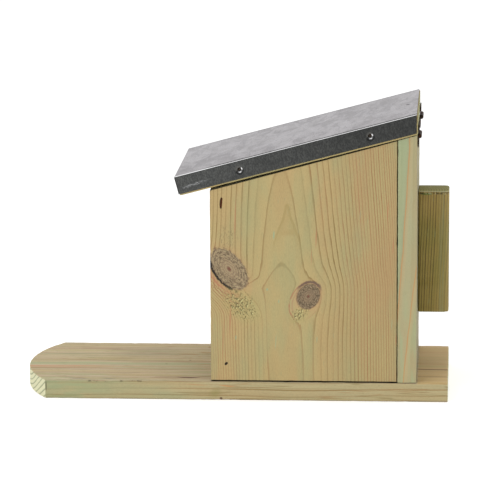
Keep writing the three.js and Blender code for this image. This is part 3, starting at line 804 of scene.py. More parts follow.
# ---- side panels ----
def panel_extras(t, a, b, c, col, height):
    # painted shade: a near-black line just under the lid, wider towards the front, and another along the foot, for the
    # shadowed gaps there
    below = side_top(BOX_FRONT) + b * TOP_SLOPE - a
    reach = 0.4 - b * 0.0015
    painted_lid_gap_shade = 1.0 - smooth(below - reach, -0.35, 0.3)
    col = colour_mix(t, painted_lid_gap_shade * 0.97, col, srgb("#0E0D08"))
    painted_foot_gap_shade = 1.0 - smooth(a, T + 1.2, T + 1.75)
    col = colour_mix(t, painted_foot_gap_shade * 0.9, col, srgb("#1C1A10"))
    # rust round the staple and the brad
    d = knot_distance(M, b, a, 10.6, 191.2, 5.2, 1.35, 85.0)
    col = colour_mix(t, (1.0 - smooth(d, 0.75, 1.15)) * 0.85, col, srgb("#3A2110"))
    d = knot_distance(M, b, a, 15.0, 36.0, 1.45, 1.35, 0.0)
    col = colour_mix(t, (1.0 - smooth(d, 0.75, 1.1)) * 0.9, col, srgb("#1A140C"))
    # cold green resin flecks lying with the grain
    for u, v, long, wide, k in (
        (60.5, 160.5, 5.0, 1.0, 0.6), (54.0, 108.0, 1.6, 1.3, 0.6), (62.0, 57.0, 9.0, 0.7, 0.4), (24.0, 61.0, 3.0, 0.9, 0.5),
        (101.0, 60.0, 4.0, 0.7, 0.35), (65.0, 96.5, 2.2, 0.9, 0.5), (172.0, 75.0, 7.0, 0.6, 0.3), (142.0, 180.0, 6.0, 0.6, 0.3),
    ):
        d = knot_distance(M, a, b, v, u, long, wide, 4.0)
        col = colour_mix(t, (1.0 - smooth(d, 0.35, 1.1)) * k, col, srgb("#84A88A"))
    # short rusty streaks in the late wood
    for u, v, long, wide, k in (
        (100.5, 158.0, 12.0, 0.8, 0.5), (168.0, 184.0, 14.0, 0.7, 0.5), (173.0, 150.0, 9.0, 0.7, 0.5), (176.0, 60.0, 8.0, 0.7, 0.5),
        (96.0, 140.0, 10.0, 0.6, 0.4), (24.0, 176.0, 24.0, 0.9, 0.45), (19.0, 84.0, 22.0, 1.0, 0.5), (12.0, 60.0, 26.0, 0.8, 0.35),
    ):
        d = knot_distance(M, a, b, v, u, long, wide, 2.0)
        col = colour_mix(t, (1.0 - smooth(d, 0.3, 1.1)) * k, col, srgb("#AE6C4C"))
    return col, height


def side_panel(sign, name, node, mat):
    bottom, rear = T + 1.15, SIDE_REAR - 0.4
    pts = [(BOX_FRONT, bottom), (rear, bottom), (rear, side_top(rear)), (BOX_FRONT, side_top(BOX_FRONT))]
    bm = prism(pts, SIDE_IN, W2, lambda a, b, c: (c * sign, a, b), bevel=0.75)
    slice_grid(bm, {2: (bottom, 252.0, 4.5), 1: (BOX_FRONT, rear, 4.5)})
    weather(bm, seed=7.0 + sign, edge_mm=0.4)
    ob = finish_mesh(bm, name)
    cuts = []
    # slot of the staple and hole of the brad
    tag = "right" if sign > 0 else "left"
    lo, hi = B[f"{tag}_front_staple"]
    cy, cz = (lo.y + hi.y) * 500, (lo.z + hi.z) * 500
    lean = math.radians(-5)
    slot = prism(
        [(-0.95, -4.8), (-0.6, -5.3), (0.6, -5.3), (0.95, -4.8), (0.85, 4.8), (0.4, 5.2), (-0.4, 5.2), (-0.85, 4.8)],
        W2 - 2.4, W2 + 1.0,
        lambda a, b, c: (c * sign, cy + a * math.cos(lean) - b * math.sin(lean), cz + a * math.sin(lean) + b * math.cos(lean)),
        bevel=0,
    )
    cuts.append(temp(slot))
    c = mid(f"{tag}_front_brad")
    cuts.append(temp(turned([(0, -1), (1.25, -1), (1.1, 1.0), (1.1, 3.5), (0, 3.5)], (W2 * sign, c[1], c[2]), (-sign, 0, 0), 16)))
    carve(ob, cuts)
    dress(ob, mat, "box", "pine", node)
    return ob


right_mat = wood(
    "pine_side_right", along_z(W2, BOX_FRONT, "y", -1.0), panel="right", seed=1.0,
    early="#BBAB7A", late="#8C7846", pink="#AA7650", green="#A0AA80", green_amount=0.42, contrast=0.78, tint=(0.84, 0.795, 0.735),
    extras=panel_extras,
)
left_mat = wood(
    "pine_side_left", along_z(-W2, BOX_FRONT, "y", 1.0), panel="left", seed=6.0,
    early="#BBAB7A", late="#8C7846", pink="#AA7650", green="#A0AA80", green_amount=0.42, contrast=0.78, tint=(0.84, 0.795, 0.735),
    extras=panel_extras,
)
side_panel(1.0, "side_panel_right", "right_side_panel", right_mat)
side_panel(-1.0, "side_panel_left", "left_side_panel", left_mat)

# ---- back board ----
bm = prism(
    [(BACK_F, T + 0.3), (BACK_R, T + 0.3), (BACK_R, side_top(BACK_R)), (BACK_F, side_top(BACK_F))],
    -W2, W2, lambda a, b, c: (c, a, b), bevel=0.8,
)
slice_grid(bm, {2: (T, 256.0, 5.0), 0: (-W2, W2, 8.0)})
weather(bm, seed=13.0)
back = finish_mesh(bm, "back_board_wood")
cuts = []
for n in B:
    if "_back_screw_" in n:
        c = mid(n)
        cuts.append(temp(turned([(0, -1), (4.2, -1), (4.2, 0.7), (2.2, 2.9), (0, 2.9)], (c[0], BACK_R, c[2]), (0, -1, 0))))
for n in ("block_screw_lower", "block_screw_upper"):
    c = mid(n)
    cuts.append(temp(turned([(0, -1), (4.2, -1), (4.2, 0.7), (2.2, 2.9), (0, 2.9)], (c[0], BACK_F, c[2]), (0, 1, 0))))
carve(back, cuts)


def back_extras(t, a, b, c, col, height):
    # near edge: green to the front, straw behind, two wavering orange lines
    edge = smooth(M.abs(b), W2 - 1.4, W2 - 0.5)
    k1 = M.max((254.0 - a) / 166.0, 0.001)._op("POWER", 1.3)
    k2 = M.max((136.0 - a) / 106.0, 0.001)._op("POWER", 0.8)
    sway = (noise3(a * 0.03 + 1.3, b * 0.0, c * 0.0, 2.0) - 0.5) * 2.4
    d1 = c - (10.8 - 10.3 * k1) - sway
    d2 = c - (19.3 - 12.6 * k2) - sway
    col = colour_mix(t, edge * (1.0 - smooth(d1, -3.0, 0.4)) * 0.5, col, srgb("#9DAA82"))
    col = colour_mix(t, edge * smooth(d1, 0.0, 3.0) * 0.3, col, srgb("#BBB086"))
    low = 1.0 - smooth(a, 60.0, 130.0)
    col = colour_mix(t, edge * low * smooth(noise3(a * 0.02, c * 0.2, b * 0.0, 3.0), 0.4, 0.6) * 0.45, col, srgb("#98A981"))
    for d in (d1, d2):
        col = colour_mix(t, edge * (1.0 - smooth(M.abs(d), 0.1, 0.9)) * 0.75, col, srgb("#B98650"))
        col = colour_mix(t, edge * smooth(d, 0.0, 1.0) * (1.0 - smooth(d, 1.5, 4.5)) * 0.3, col, srgb("#C0A172"))
    return col, height


back_mat = wood(
    "pine_back", along_z(0.0, BACK_F, "x", 1.0), plain_rings(22.0, 58.0, 7.5, drift=0.004, sway=3.0),
    early="#B8AF86", late="#A3985F", green="#A2AF8C", green_amount=0.5, seed=4.0, contrast=0.5, extras=back_extras,
    tint=(0.695, 0.708, 0.705),
)
dress(back, back_mat, "box", "pine", "back_board")

# ---- front board with the entrance ----
FX = front_hi.x * 1000
hole_z = 140.0
bm = prism(
    [(-FX, T + 0.3), (FX, T + 0.3), (FX, front_hi.z * 1000), (-FX, front_hi.z * 1000)],
    front_lo.y * 1000, front_hi.y * 1000, lambda a, b, c: (a, c, b), bevel=0.7,
)
slice_grid(bm, {2: (T, 203.0, 6.0), 0: (-FX, FX, 6.0)})
weather(bm, seed=17.0)
front = finish_mesh(bm, "front_board_wood")
y0, y1 = front_lo.y * 1000, front_hi.y * 1000
D = y1 - y0
carve(
    front,
    [
        temp(
            turned(
                [(0, -2), (18.2, -2), (17.4, 0.0), (16.6, 0.5), (16.15, 1.2), (16.0, 2.2), (16.0, D - 2.2), (16.15, D - 1.2), (16.6, D - 0.5), (17.4, D), (18.2, D + 2), (0, D + 2)],
                (0, y0, hole_z), (0, 1, 0), 64,
            )
        )
    ],
)
front_mat = wood(
    "pine_front", along_z(0.0, y0, "x", 1.0), plain_rings(-14.0, 46.0, 4.0, drift=0.01, sway=2.6),
    seed=8.0, green_amount=0.4, contrast=0.7,
)
dress(front, front_mat, "box", "pine", "front_board")

# ---- spacer block ----
BX = block_hi.x * 1000
by0, by1 = block_lo.y * 1000, block_hi.y * 1000
bz0, bz1 = block_lo.z * 1000, block_hi.z * 1000
pts = []
for cx, cy, sx, sy, a0, r in ((BX, by1, 1, 1, 0, 4.5), (-BX, by1, -1, 1, 90, 4.5), (-BX, by0, -1, -1, 180, 2.0), (BX, by0, 1, -1, 270, 2.0)):
    for k in range(7):
        th = math.radians(a0 + 15 * k)
        pts.append((cx - sx * r + r * math.cos(th), cy - sy * r + r * math.sin(th)))
bm = prism(pts, bz0, bz1, lambda a, b, c: (a, b, c), bevel=1.3, segs=3, min_angle=60)
slice_grid(bm, {2: (bz0, bz1, 4.0)})
weather(bm, seed=23.0, face_mm=0.1, edge_mm=0.6)
block = finish_mesh(bm, "spacer_block_wood", 40)


def block_extras(t, a, b, c, col, height):
    up = smooth(a, bz1 - 3.0, bz1 - 1.0)
    dash = noise3(a * 0.2, b * 0.35, c * 0.35 + 4.0, 2.0, 0.7)
    col = colour_mix(t, up * smooth(dash, 0.55, 0.62) * 0.5, col, srgb("#3F3A22"))
    col = colour_mix(t, up * (1.0 - smooth(dash, 0.3, 0.42)) * 0.5, col, srgb("#A3A080"))
    # green preservative run below the top arris
    d = knot_distance(M, b, a, 8.0, bz1 - 3.6, 7.0, 1.3, 0.0)
    col = colour_mix(t, (1.0 - smooth(d, 0.5, 1.1)) * 0.7, col, srgb("#55702F"))
    # greyer band on the rounded rear edge, partly a painted highlight where the rounding catches light
    band = smooth(b, 19.5, 21.0) * (1.0 - 0.5 * smooth(b, 24.5, 26.0))
    strip = noise3(a * 0.02, b * 0.9, c * 0.2, 2.0, 0.6)
    col = colour_mix(t, band * (0.12 + 0.34 * smooth(strip, 0.45, 0.56)), col, srgb("#8D8C62"))
    # pale worn arris, then dark and pale dashes just below it
    pale = smooth(a, bz1 - 1.9, bz1 - 1.4) * (1.0 - smooth(a, bz1 - 0.75, bz1 - 0.3))
    col = colour_mix(t, pale * 0.6, col, srgb("#B4B692"))
    arris = smooth(a, bz1 - 4.4, bz1 - 3.4) * (1.0 - smooth(a, bz1 - 2.2, bz1 - 1.4))
    dash3 = noise3(b * 0.32, a * 0.2, c * 0.1 + 6.0, 2.0, 0.7)
    col = colour_mix(t, arris * (1.0 - up) * smooth(dash3, 0.5, 0.56) * 0.8, col, srgb("#2E2A16"))
    col = colour_mix(t, arris * (1.0 - up) * (1.0 - smooth(dash3, 0.4, 0.46)) * 0.6, col, srgb("#A8A684"))
    return col, height


block_mat = wood(
    "pine_block", along_z(0.0, by0, "y", 1.0), plain_rings(-8.0, 12.0, 2.5, drift=-0.03, sway=2.6),
    early="#96824A", late="#55451E", pink="#6B4A20", green="#79783E", green_amount=0.4, contrast=0.95,
    seed=5.0, end_early="#8E8656", end_late="#5F5A38", extras=block_extras, line_lo=0.5, gain=0.98,
    tint=(0.97, 0.96, 0.78), end_tint=(0.99, 1.03, 0.94),
)
dress(block, block_mat, "box", "block_pine", "spacer_block")

# =====================================================================================
# lid: board, folded sheet cap
# =====================================================================================
BACK_REAR = BACK_R
LID_UNDER = 256.8
LID_REAR = lid_hi.y * 1000
CAP_T, FL, SH = 19.1, 17.5, 0.8
LID_FRONT = cap_lo.y * 1000
lid_under = lambda y: LID_UNDER + (y - BACK_REAR) * math.tan(SLOPE)
foot_y = LID_FRONT + CAP_T * SN
foot = (foot_y, lid_under(foot_y))


def lid_place(x, s, n):
    """x across, s up the slope from the cap's front, n square to the lid above its underside."""
    return (x, foot[0] + s * CS - n * SN, foot[1] + s * SN + n * CS)


def s_at(y, n):
    return (y - foot[0] + n * SN) / CS


pts = [(1.1, 0.0), (s_at(LID_REAR, 0), 0.0), (s_at(LID_REAR, 18.0), 18.0), (1.1, 18.0)]
bm = prism(pts, -W2, W2, lambda a, b, c: lid_place(c, a, b), bevel=0.7)
slice_grid(bm, {0: (-W2, W2, 6.0), 1: (LID_FRONT, LID_REAR, 8.0)})
weather(bm, seed=29.0, face_mm=0.05, edge_mm=0.35)
lid = finish_mesh(bm, "lid_board_wood")
NAILS = [(sx, s) for sx in (1, -1) for s in (61.8, 188.8)]
EAVES = [48.0, -48.0]
NN = CAP_T - FL / 2
cuts = [
    temp(turned([(0, -1.5), (5.0, -1.5), (5.0, 0.1), (2.6, 3.0), (0, 3.0)], lid_place(sx * W2, s, NN), (-sx, 0, 0), 18))
    for sx, s in NAILS
]
cuts += [
    temp(turned([(0, -1.5), (5.0, -1.5), (5.0, 0.1), (2.6, 3.0), (0, 3.0)], lid_place(x, 1.1, NN), (0, CS, SN), 18))
    for x in EAVES
]
carve(lid, cuts)


def lid_extras(t, a, b, c, col, height):
    # painted shade: the underside is darkened where it lies over the box, inside its outer edges
    inside = 1.0 - smooth(M.abs(b), W2 - 1.6, W2 - 0.8)
    level = c - ((LID_UNDER - BACK_REAR * math.tan(SLOPE)) * CS)
    under = (1.0 - smooth(level, 0.4, 1.0)) * inside * smooth(a, 25.0, 27.0)
    col = colour_mix(t, under * 0.55, col, srgb("#2A2616"))
    return col, height


lid_mat = wood(
    "pine_lid", along_slope, plain_rings(-20.0, 232.0, 4.6, drift=0.0, sway=2.0),
    early="#C4B684", late="#A58F58", green_amount=0.35, seed=12.0, contrast=0.65,
    end_tint=(0.56, 0.55, 0.4), tint=(0.8, 0.74, 0.62), extras=lid_extras,
)
dress(lid, lid_mat, "lid", "pine", "lid_board")

# the sheet: one folded strip for top and sides, one folded strip for the front
HX = cap_hi.x * 1000
RB = 1.15  # outside bend radius


def fold_section(half, top, low, r, t):
    """Outline (x, n) of a strip of thickness t folded down on both sides."""
    outer, inner = [], []
    outer.append((half, low))
    for k in range(7):
        th = math.radians(90 * k / 6)
        outer.append((half - r + r * math.cos(th), top - r + r * math.sin(th)))
    for k in range(7):
        th = math.radians(90 + 90 * k / 6)
        outer.append((-half + r + r * math.cos(th), top - r + r * math.sin(th)))
    outer.append((-half, low))
    ri = r - t
    inner.append((-half + t, low))
    for k in range(6, -1, -1):
        th = math.radians(90 + 90 * k / 6)
        inner.append((-half + r + ri * math.cos(th), top - r + ri * math.sin(th)))
    for k in range(6, -1, -1):
        th = math.radians(90 * k / 6)
        inner.append((half - r + ri * math.cos(th), top - r + ri * math.sin(th)))
    inner.append((half - t, low))
    return outer + inner


def strip(sections_at, outline, place):
    """A closed extrusion of outline through several stations."""
    bm = bmesh.new()
    rows = [[bm.verts.new(Vector(place(a, b, c)) * MM) for a, b in outline] for c in sections_at]
    n = len(outline)
    for r0, r1 in zip(rows, rows[1:]):
        for i in range(n):
            j = (i + 1) % n
            bm.faces.new((r0[i], r0[j], r1[j], r1[i]))
    h = n // 2
    # end faces as quads across the sheet's thickness
    for row in (rows[0], rows[-1]):
        for i in range(h - 1):
            bm.faces.new((row[i], row[i + 1], row[n - 2 - i], row[n - 1 - i]))
    bmesh.ops.recalc_face_normals(bm, faces=bm.faces)
    return bm


LOW = CAP_T - FL
sheet_rear = cap_hi.y * 1000


def rear_s(n):
    return s_at(sheet_rear, n)


stations = [RB]
for s in (61.8, 188.8):
    stations += [s + d for d in (-6, -4.6, -3.6, -2.8, -2.2, -1.5, -0.7, 0, 0.7, 1.5, 2.2, 2.8, 3.6, 4.6, 6)]
stations += [12, 24, 36, 48, 80, 95, 110, 125, 140, 155, 170, 205, 218]
stations = sorted(stations) + [9999.0]


def refine(outline, t):
    """Adds points down the flanges so the dimples have something to bend."""
    levels = [NN + d for d in (6, 4.6, 3.6, 2.8, 2.2, 1.5, 0.7, 0, -0.7, -1.5, -2.2, -2.8, -3.6, -4.6, -6)]
    out = []
    half_n = len(outline) // 2
    first, last = outline[0], outline[half_n - 1]
    out.append(first)
    out += [(first[0], z) for z in sorted(levels)]
    out += outline[1 : half_n - 1]
    out += [(last[0], z) for z in sorted(levels, reverse=True)]
    out.append(last)
    f2, l2 = outline[half_n], outline[-1]
    out.append(f2)
    out += [(f2[0], z) for z in sorted(levels)]
    out += outline[half_n + 1 : -1]
    out += [(l2[0], z) for z in sorted(levels, reverse=True)]
    out.append(l2)
    return out


section = refine(fold_section(HX, CAP_T, LOW, RB, SH), SH)
bm = strip(stations, section, lambda a, b, c: lid_place(a, min(c, rear_s(b)), b))


def inverse_lid(p):
    y, z = p.y * 1000 - foot[0], p.z * 1000 - foot[1]
    return p.x * 1000, y * CS + z * SN, z * CS - y * SN


def dimple(d):
    """Depth of the pressed dimple at a distance from its nail, mm."""
    if d > 5.0:
        return 0.0
    return 1.5 * (0.5 + 0.5 * math.cos(math.pi * min(1.0, max(0.0, (d - 1.2) / 3.8))))


for v in bm.verts:
    x, s, n = inverse_lid(v.co)
    if abs(x) > HX - SH - 0.1 and n < CAP_T - 2:
        for sx, s0 in NAILS:
            if x * sx > 0:
                dd = math.hypot(s - s0, n - NN)
                v.co.x -= sx * dimple(dd) * MM
    # faint unevenness of thin sheet laid over timber, always inwards
    k = noise.noise(Vector((x * 0.018, s * 0.02, n * 0.05)))
    if n > CAP_T - RB:
        fade = min(1.0, (HX - abs(x)) / 12.0)
        dn = -(0.5 + 0.5 * k) * 0.12 * fade * MM
        v.co += Vector((0, -SN * dn, CS * dn))
cap = finish_mesh(bm, "lid_sheet_cap_folded", 50)

# front strip
prof = []
for k in range(7):
    th = math.radians(90 * k / 6)
    prof.append((RB - RB * math.sin(th), CAP_T - RB + RB * math.cos(th)))
prof_out = prof + [(0.0, LOW)]
prof_in = [(SH, LOW)]
for k in range(6, -1, -1):
    th = math.radians(90 * k / 6)
    prof_in.append((RB - (RB - SH) * math.sin(th), CAP_T - RB + (RB - SH) * math.cos(th)))
levels = [NN + d for d in (6, 4.6, 3.6, 2.8, 2.2, 1.5, 0.7, 0, -0.7, -1.5, -2.2, -2.8, -3.6, -4.6, -6)]
prof_out = prof_out[:-1] + [(0.0, z) for z in levels] + [prof_out[-1]]
prof_in = [prof_in[0]] + [(SH, z) for z in reversed(levels)] + prof_in[1:]
xs = [-HX + 0.0, -HX + 1.2]
xs += [x for x in range(-72, 73, 8) if abs(abs(x) - 48) > 7]
for x0 in EAVES:
    xs += [x0 + d for d in (-6, -4.6, -3.6, -2.8, -2.2, -1.5, -0.7, 0, 0.7, 1.5, 2.2, 2.8, 3.6, 4.6, 6)]
xs = sorted(set(xs + [HX - 1.2, HX]))


def front_place(a, b, c):
    # the strip's upper corners are eased so that the folded corner reads rounded
    over = max(0.0, abs(c) - (HX - 1.2)) / 1.2
    drop = 0.3 * over * over * max(0.0, min(1.0, (b - (CAP_T - RB)) / RB + 0.2))
    return lid_place(c, a + 0.12 * over * over, b - drop)


bm = strip(xs, prof_out + prof_in, front_place)
for v in bm.verts:
    x, s, n = inverse_lid(v.co)
    if s < 1.2 and n < CAP_T - 2:
        for x0 in EAVES:
            dd = math.hypot(x - x0, n - NN)
            k = dimple(dd) * MM
            v.co += Vector((0, CS * k, SN * k))
lip = finish_mesh(bm, "lid_sheet_cap_front_fold", 50)

hole = [(0, -2), (1.75, -2), (1.65, 4.0), (0, 4.0)]
carve(cap, [temp(turned(hole, lid_place(sx * HX, s, NN), (-sx, 0, 0), 20)) for sx, s in NAILS], 50)
carve(lip, [temp(turned(hole, lid_place(x, 0.0, NN), (0, CS, SN), 20)) for x in EAVES], 50)


def sheet_material():
    m, t, p, xyz, nrm = new_material("galvanised_sheet")
    a, b, c = along_slope(*xyz)
    na, nb, nc = along_slope(*nrm, direction=True)
    up = smooth(nc, 0.55, 0.9)
    # drawn-out spangle on the top, tighter speckle down the flanges
    big = noise3(a * 0.03, b * 0.016, c * 0.05 + 2.0, 3.0, 0.6, 0.6)
    patch = noise3(a * 0.055 + b * 0.01, b * 0.03 - a * 0.01, c * 0.1, 2.0, 0.5, 1.2)
    spang = noise3(a * 0.12, b * 0.035, c * 0.2, 2.0, 0.6, 1.0)
    fine = noise3(a * 0.8, b * 0.22, c * 0.8, 2.0, 0.8)
    rub = noise3(a * 0.012, b * 0.16, c * 0.8, 2.0, 0.6)
    vert = noise3(a * 0.9, b * 0.3, c * 0.42, 3.0, 0.75)
    top = colour_mix(t, smooth(big, 0.38, 0.6) * 0.8, srgb("#C8C5C7"), srgb("#B0ADAF"))
    top = colour_mix(t, smooth(patch, 0.5, 0.55) * 0.45, top, srgb("#D2CFD2"))
    top = colour_mix(t, smooth(spang, 0.55, 0.6) * 0.35, top, srgb("#A5A2A5"))
    top = colour_mix(t, smooth(rub, 0.6, 0.72) * 0.25, top, srgb("#DAD7DA"))
    top = shade(t, top, 0.66 + 0.56 * fine)
    side = colour_mix(t, smooth(vert, 0.42, 0.6), srgb("#4C4D4C"), srgb("#5E5F5D"))
    side = colour_mix(t, smooth(big, 0.45, 0.7) * 0.4, side, srgb("#464746"))
    side = shade(t, side, 0.55 + 0.9 * fine)
    # light rubs low on the flange near its front end
    d = knot_distance(M, a, c, 19.0, 211.0, 15.0, 1.7, 4.0)
    scr = smooth(noise3(a * 0.25, c * 2.0, b * 0.0, 2.0, 0.7), 0.5, 0.56)
    side = colour_mix(t, (1.0 - smooth(d, 0.3, 1.1)) * scr * 0.8, side, srgb("#B4B5B6"))
    # painted shade: the flange is darkened towards the rear, standing in for its dimming reflection
    side = shade(t, side, 0.98 - 0.38 * smooth(a, -40.0, 235.0))
    # painted highlights on the pressed rims of the nail dimples, strongest on their lower rear side
    for s0 in (61.8, 188.8):
        da = a - (s0 + foot[0] * CS + foot[1] * SN)
        dc = c - (NN + foot[1] * CS - foot[0] * SN)
        dd = M.sqrt(da * da + dc * dc)
        painted_glint_side = smooth((da * 0.8 - dc) / M.max(dd, 0.3), -0.25, 0.6)
        side = colour_mix(t, (1.0 - smooth(dd, 2.7, 3.25)) * smooth(dd, 1.3, 1.9) * painted_glint_side, side, srgb("#E8E8E8"))
        side = colour_mix(t, (1.0 - smooth(dd, 2.9, 4.2)) * (1.0 - painted_glint_side) * 0.12, side, srgb("#B8B4AC"))
        side = colour_mix(t, 1.0 - smooth(dd, 1.5, 2.1), side, srgb("#1C120A"))
    # painted reflection: the top takes a light colour and the flanges a dark one by their facing, lit and shaded copies
    # of one sheet
    col = colour_mix(t, up, side, top)
    # painted shade in a line just inside each fold, and a painted highlight along the fold itself
    painted_fold_shade = smooth(M.abs(b), 74.6, 76.2) * (1.0 - smooth(M.abs(b), 79.6, 80.2)) * smooth(nc, 0.9, 0.97) * (0.25 + 0.75 * smooth(b, -1.0, 1.0)) * smooth(a, 20.0, 45.0)
    col = colour_mix(t, painted_fold_shade * 0.92, col, srgb("#2C2B2B"))
    d = knot_distance(M, a, b, 229.0, 4.0, 2.6, 2.6, 0.0)
    col = colour_mix(t, up * (1.0 - smooth(d, 0.6, 1.1)) * 0.95, col, srgb("#3C3A3A"))
    d = knot_distance(M, a, b, 231.0, 0.5, 3.0, 2.2, 0.0)
    col = colour_mix(t, up * (1.0 - smooth(d, 0.5, 1.1)) * 0.5, col, srgb("#DAD8DA"))
    fold = smooth(nc, 0.4, 0.62) * (1.0 - smooth(nc, 0.9, 0.97))
    col = colour_mix(t, fold * (0.9 - 0.3 * smooth(a, 25.0, 60.0)), col, srgb("#F4F4F4"))
    # painted shade: a dark line in the lower part of each fold
    painted_crease_shade = smooth(nc, 0.06, 0.16) * (1.0 - smooth(nc, 0.36, 0.5))
    col = colour_mix(t, painted_crease_shade * 0.8, col, srgb("#2A2A2A"))
    t.links.new(col, p.inputs["Base Color"])
    p.inputs["Metallic"].default_value = 1.0
    rough = 0.42 + 0.14 * big + 0.1 * fine
    t.links.new(rough.s, p.inputs["Roughness"])
    h = (big - 0.5) * 0.06 + (fine - 0.5) * 0.02 + (vert - 0.5) * 0.03
    # little dent near the rear
    d = knot_distance(M, a, b, 232.5, -6.0, 5.0, 2.2, 20.0)
    h = h - (1.0 - smooth(d, 0.1, 1.0)) * 0.35 * up
    bump(t, p, h)
    return m


sheet_mat = sheet_material()
dress(cap, sheet_mat, "lid", "galvanised", "lid_sheet_cap")
dress(lip, sheet_mat, "lid", "galvanised")


# =====================================================================================
# fittings
# =====================================================================================
def metal(name, base, dark, rust=0.0, rough=0.38, rust_col="#6B3516"):
    m, t, p, (x, y, z), nrm = new_material(name)
    n1 = noise3(x * 0.35, y * 0.35, z * 0.35, 3.0, 0.6)
    n2 = noise3(x * 2.2, y * 2.2, z * 2.2, 2.0, 0.7)
    n3 = noise3(x * 0.3, y * 4.0, z * 4.0, 2.0, 0.6)
    col = colour_mix(t, smooth(n1, 0.38, 0.66), srgb(base), srgb(dark))
    col = shade(t, col, 0.8 + 0.25 * n2 + 0.15 * n3)
    if rust:
        r = smooth(n1 * 0.5 + n2 * 0.5, 0.62 - rust * 0.35, 0.72 - rust * 0.3)
        col = colour_mix(t, r * 0.9, col, srgb(rust_col))
    t.links.new(col, p.inputs["Base Color"])
    p.inputs["Metallic"].default_value = 0.55 if rust > 0.5 else 1.0
    t.links.new((rough + 0.2 * n2 + 0.12 * n1).s, p.inputs["Roughness"])
    bump(t, p, n2 * 0.04 + n3 * 0.03)
    return m


zinc = metal("zinc_plate", "#37312B", "#1F1B17", rust=0.35, rough=0.42)
steel = metal("dull_wire", "#4A443C", "#2A241E", rust=0.35, rough=0.45)
rusty = metal("rusted_wire", "#4E2A16", "#2E170C", rust=0.8, rough=0.66, rust_col="#6A3416")


def screw_head(node, at, direction, r, shank, length, seed, recess=True, dome=0.0):
    """A countersunk cross-recess screw standing for a CAD screw."""
    cone = r - shank
    prof = [(0, -dome)] if dome else [(0, 0.0)]
    if dome:
        for k in range(1, 5):
            th = math.radians(90 * k / 5)
            prof.append((r * 0.9 * math.sin(th), -dome * math.cos(th)))
    prof += [(r * 0.93, 0.02), (r, 0.14), (r, 0.42), (shank + cone * 0.12, 0.42 + cone * 0.85), (shank, 0.6 + cone)]
    pitch = shank * 1.3
    h = 0.6 + cone + 2.0
    while h < length - 3.5:
        prof += [(shank * 0.74, h), (shank, h + pitch * 0.42), (shank * 0.74, h + pitch * 0.84)]
        h += pitch
    prof += [(shank * 0.7, length - 2.6), (0, length - 0.1)]
    ob = as_object(temp_mesh(turned(prof, at, direction, 24)), "head_" + node)
    if recess:
        d = Vector(direction).normalized()
        side = Vector((1, 0, 0)) if abs(d.x) < 0.9 else Vector((0, 1, 0))
        u = side.cross(d).normalized()
        w = d.cross(u)
        turn = random.uniform(0, math.pi / 2)
        u, w = u * math.cos(turn) + w * math.sin(turn), w * math.cos(turn) - u * math.sin(turn)
        cuts = []
        for p_, q_ in ((u, w), (w, u)):
            lw, ll, dp = r * 0.13, r * 0.56, r * 0.62
            o = Vector(at)
            place = lambda a, b, c, p_=p_, q_=q_, o=o: o + p_ * (a * (1.0 - 0.45 * max(0.0, c) / dp)) + q_ * b + d * c
            cuts.append(temp(prism([(-ll, -lw), (ll, -lw), (ll, lw), (-ll, lw)], -dome - 0.5, dp, place, bevel=0)))
        carve(ob, cuts, 30)
    return ob


def temp_mesh(bm):
    me = bpy.data.meshes.new("turned")
    bm.to_mesh(me)
    bm.free()
    return me


for n, (lo, hi) in B.items():
    c = mid(n)
    if n.startswith(("right_base_screw", "left_base_screw", "base_screw")):
        ob = screw_head(n, (c[0], c[1], lo.z * 1000 + 0.05), (0, 0, 1), 3.8, 1.7, 38.5, 1)
        dress(ob, zinc, "box", "zinc", n)
    elif "_back_screw_" in n:
        ob = screw_head(n, (c[0], hi.y * 1000 - 0.05, c[2]), (0, -1, 0), 3.8, 1.7, 42.5, 2)
        dress(ob, zinc, "box", "zinc", n)
    elif n.startswith("block_screw"):
        ob = screw_head(n, (c[0], lo.y * 1000 + 0.05, c[2]), (0, 1, 0), 3.8, 1.7, 39.0, 3)
        dress(ob, zinc, "box", "zinc", n)
    elif "hinge_screw" in n:
        body = "lid" if "_lid_" in n else "box"
        ob = screw_head(n, (c[0], hi.y * 1000 - 0.02, c[2]), (0, -1, 0), 2.45, 1.1, 14.5, 4)
        dress(ob, zinc, body, "zinc", n)
    elif "cap_nail" in n or "brad" in n:
        # wire nails: a slightly domed, hammered head on a drawn shank
        if "eaves" in n:
            d, at = Vector((0, CS, SN)), Vector(lid_place(c[0], 2.6, NN))
        else:
            sx = 1 if c[0] > 0 else -1
            d = Vector((-sx, 0, 0))
            at = Vector(((hi.x if sx > 0 else lo.x) * 1000, c[1], c[2]))
        r, sh, ln = (1.5, 0.9, 22.4) if "cap" in n else (1.0, 0.6, 33.0)
        prof = [(0, 0.0), (r * 0.5, 0.03), (r * 0.82, 0.12), (r * 0.97, 0.28), (r, 0.42), (r * 0.96, 0.58), (sh, 0.75),
                (sh, 1.4), (sh * 0.92, 1.6), (sh, 1.8), (sh, ln - 2.0), (sh * 0.6, ln - 0.9), (0, ln - 0.05)]
        ob = as_object(temp_mesh(turned(prof, at, d, 20)), "wire_" + n)
        dress(ob, steel, "lid" if "cap" in n else "box", "dark_steel", n)

for n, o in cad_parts.items():
    if "staple" in n or "_leaf" in n or "_pin" in n:
        weld = o.modifiers.new("weld", "WELD")
        weld.merge_threshold = 1e-6
        bev = o.modifiers.new("arris", "BEVEL")
        bev.width = 0.00012
        bev.segments = 2
        bev.limit_method = "ANGLE"
        bev.angle_limit = math.radians(40)
        o.data.materials.clear()
        o.data.materials.append(rusty if "staple" in n else zinc)

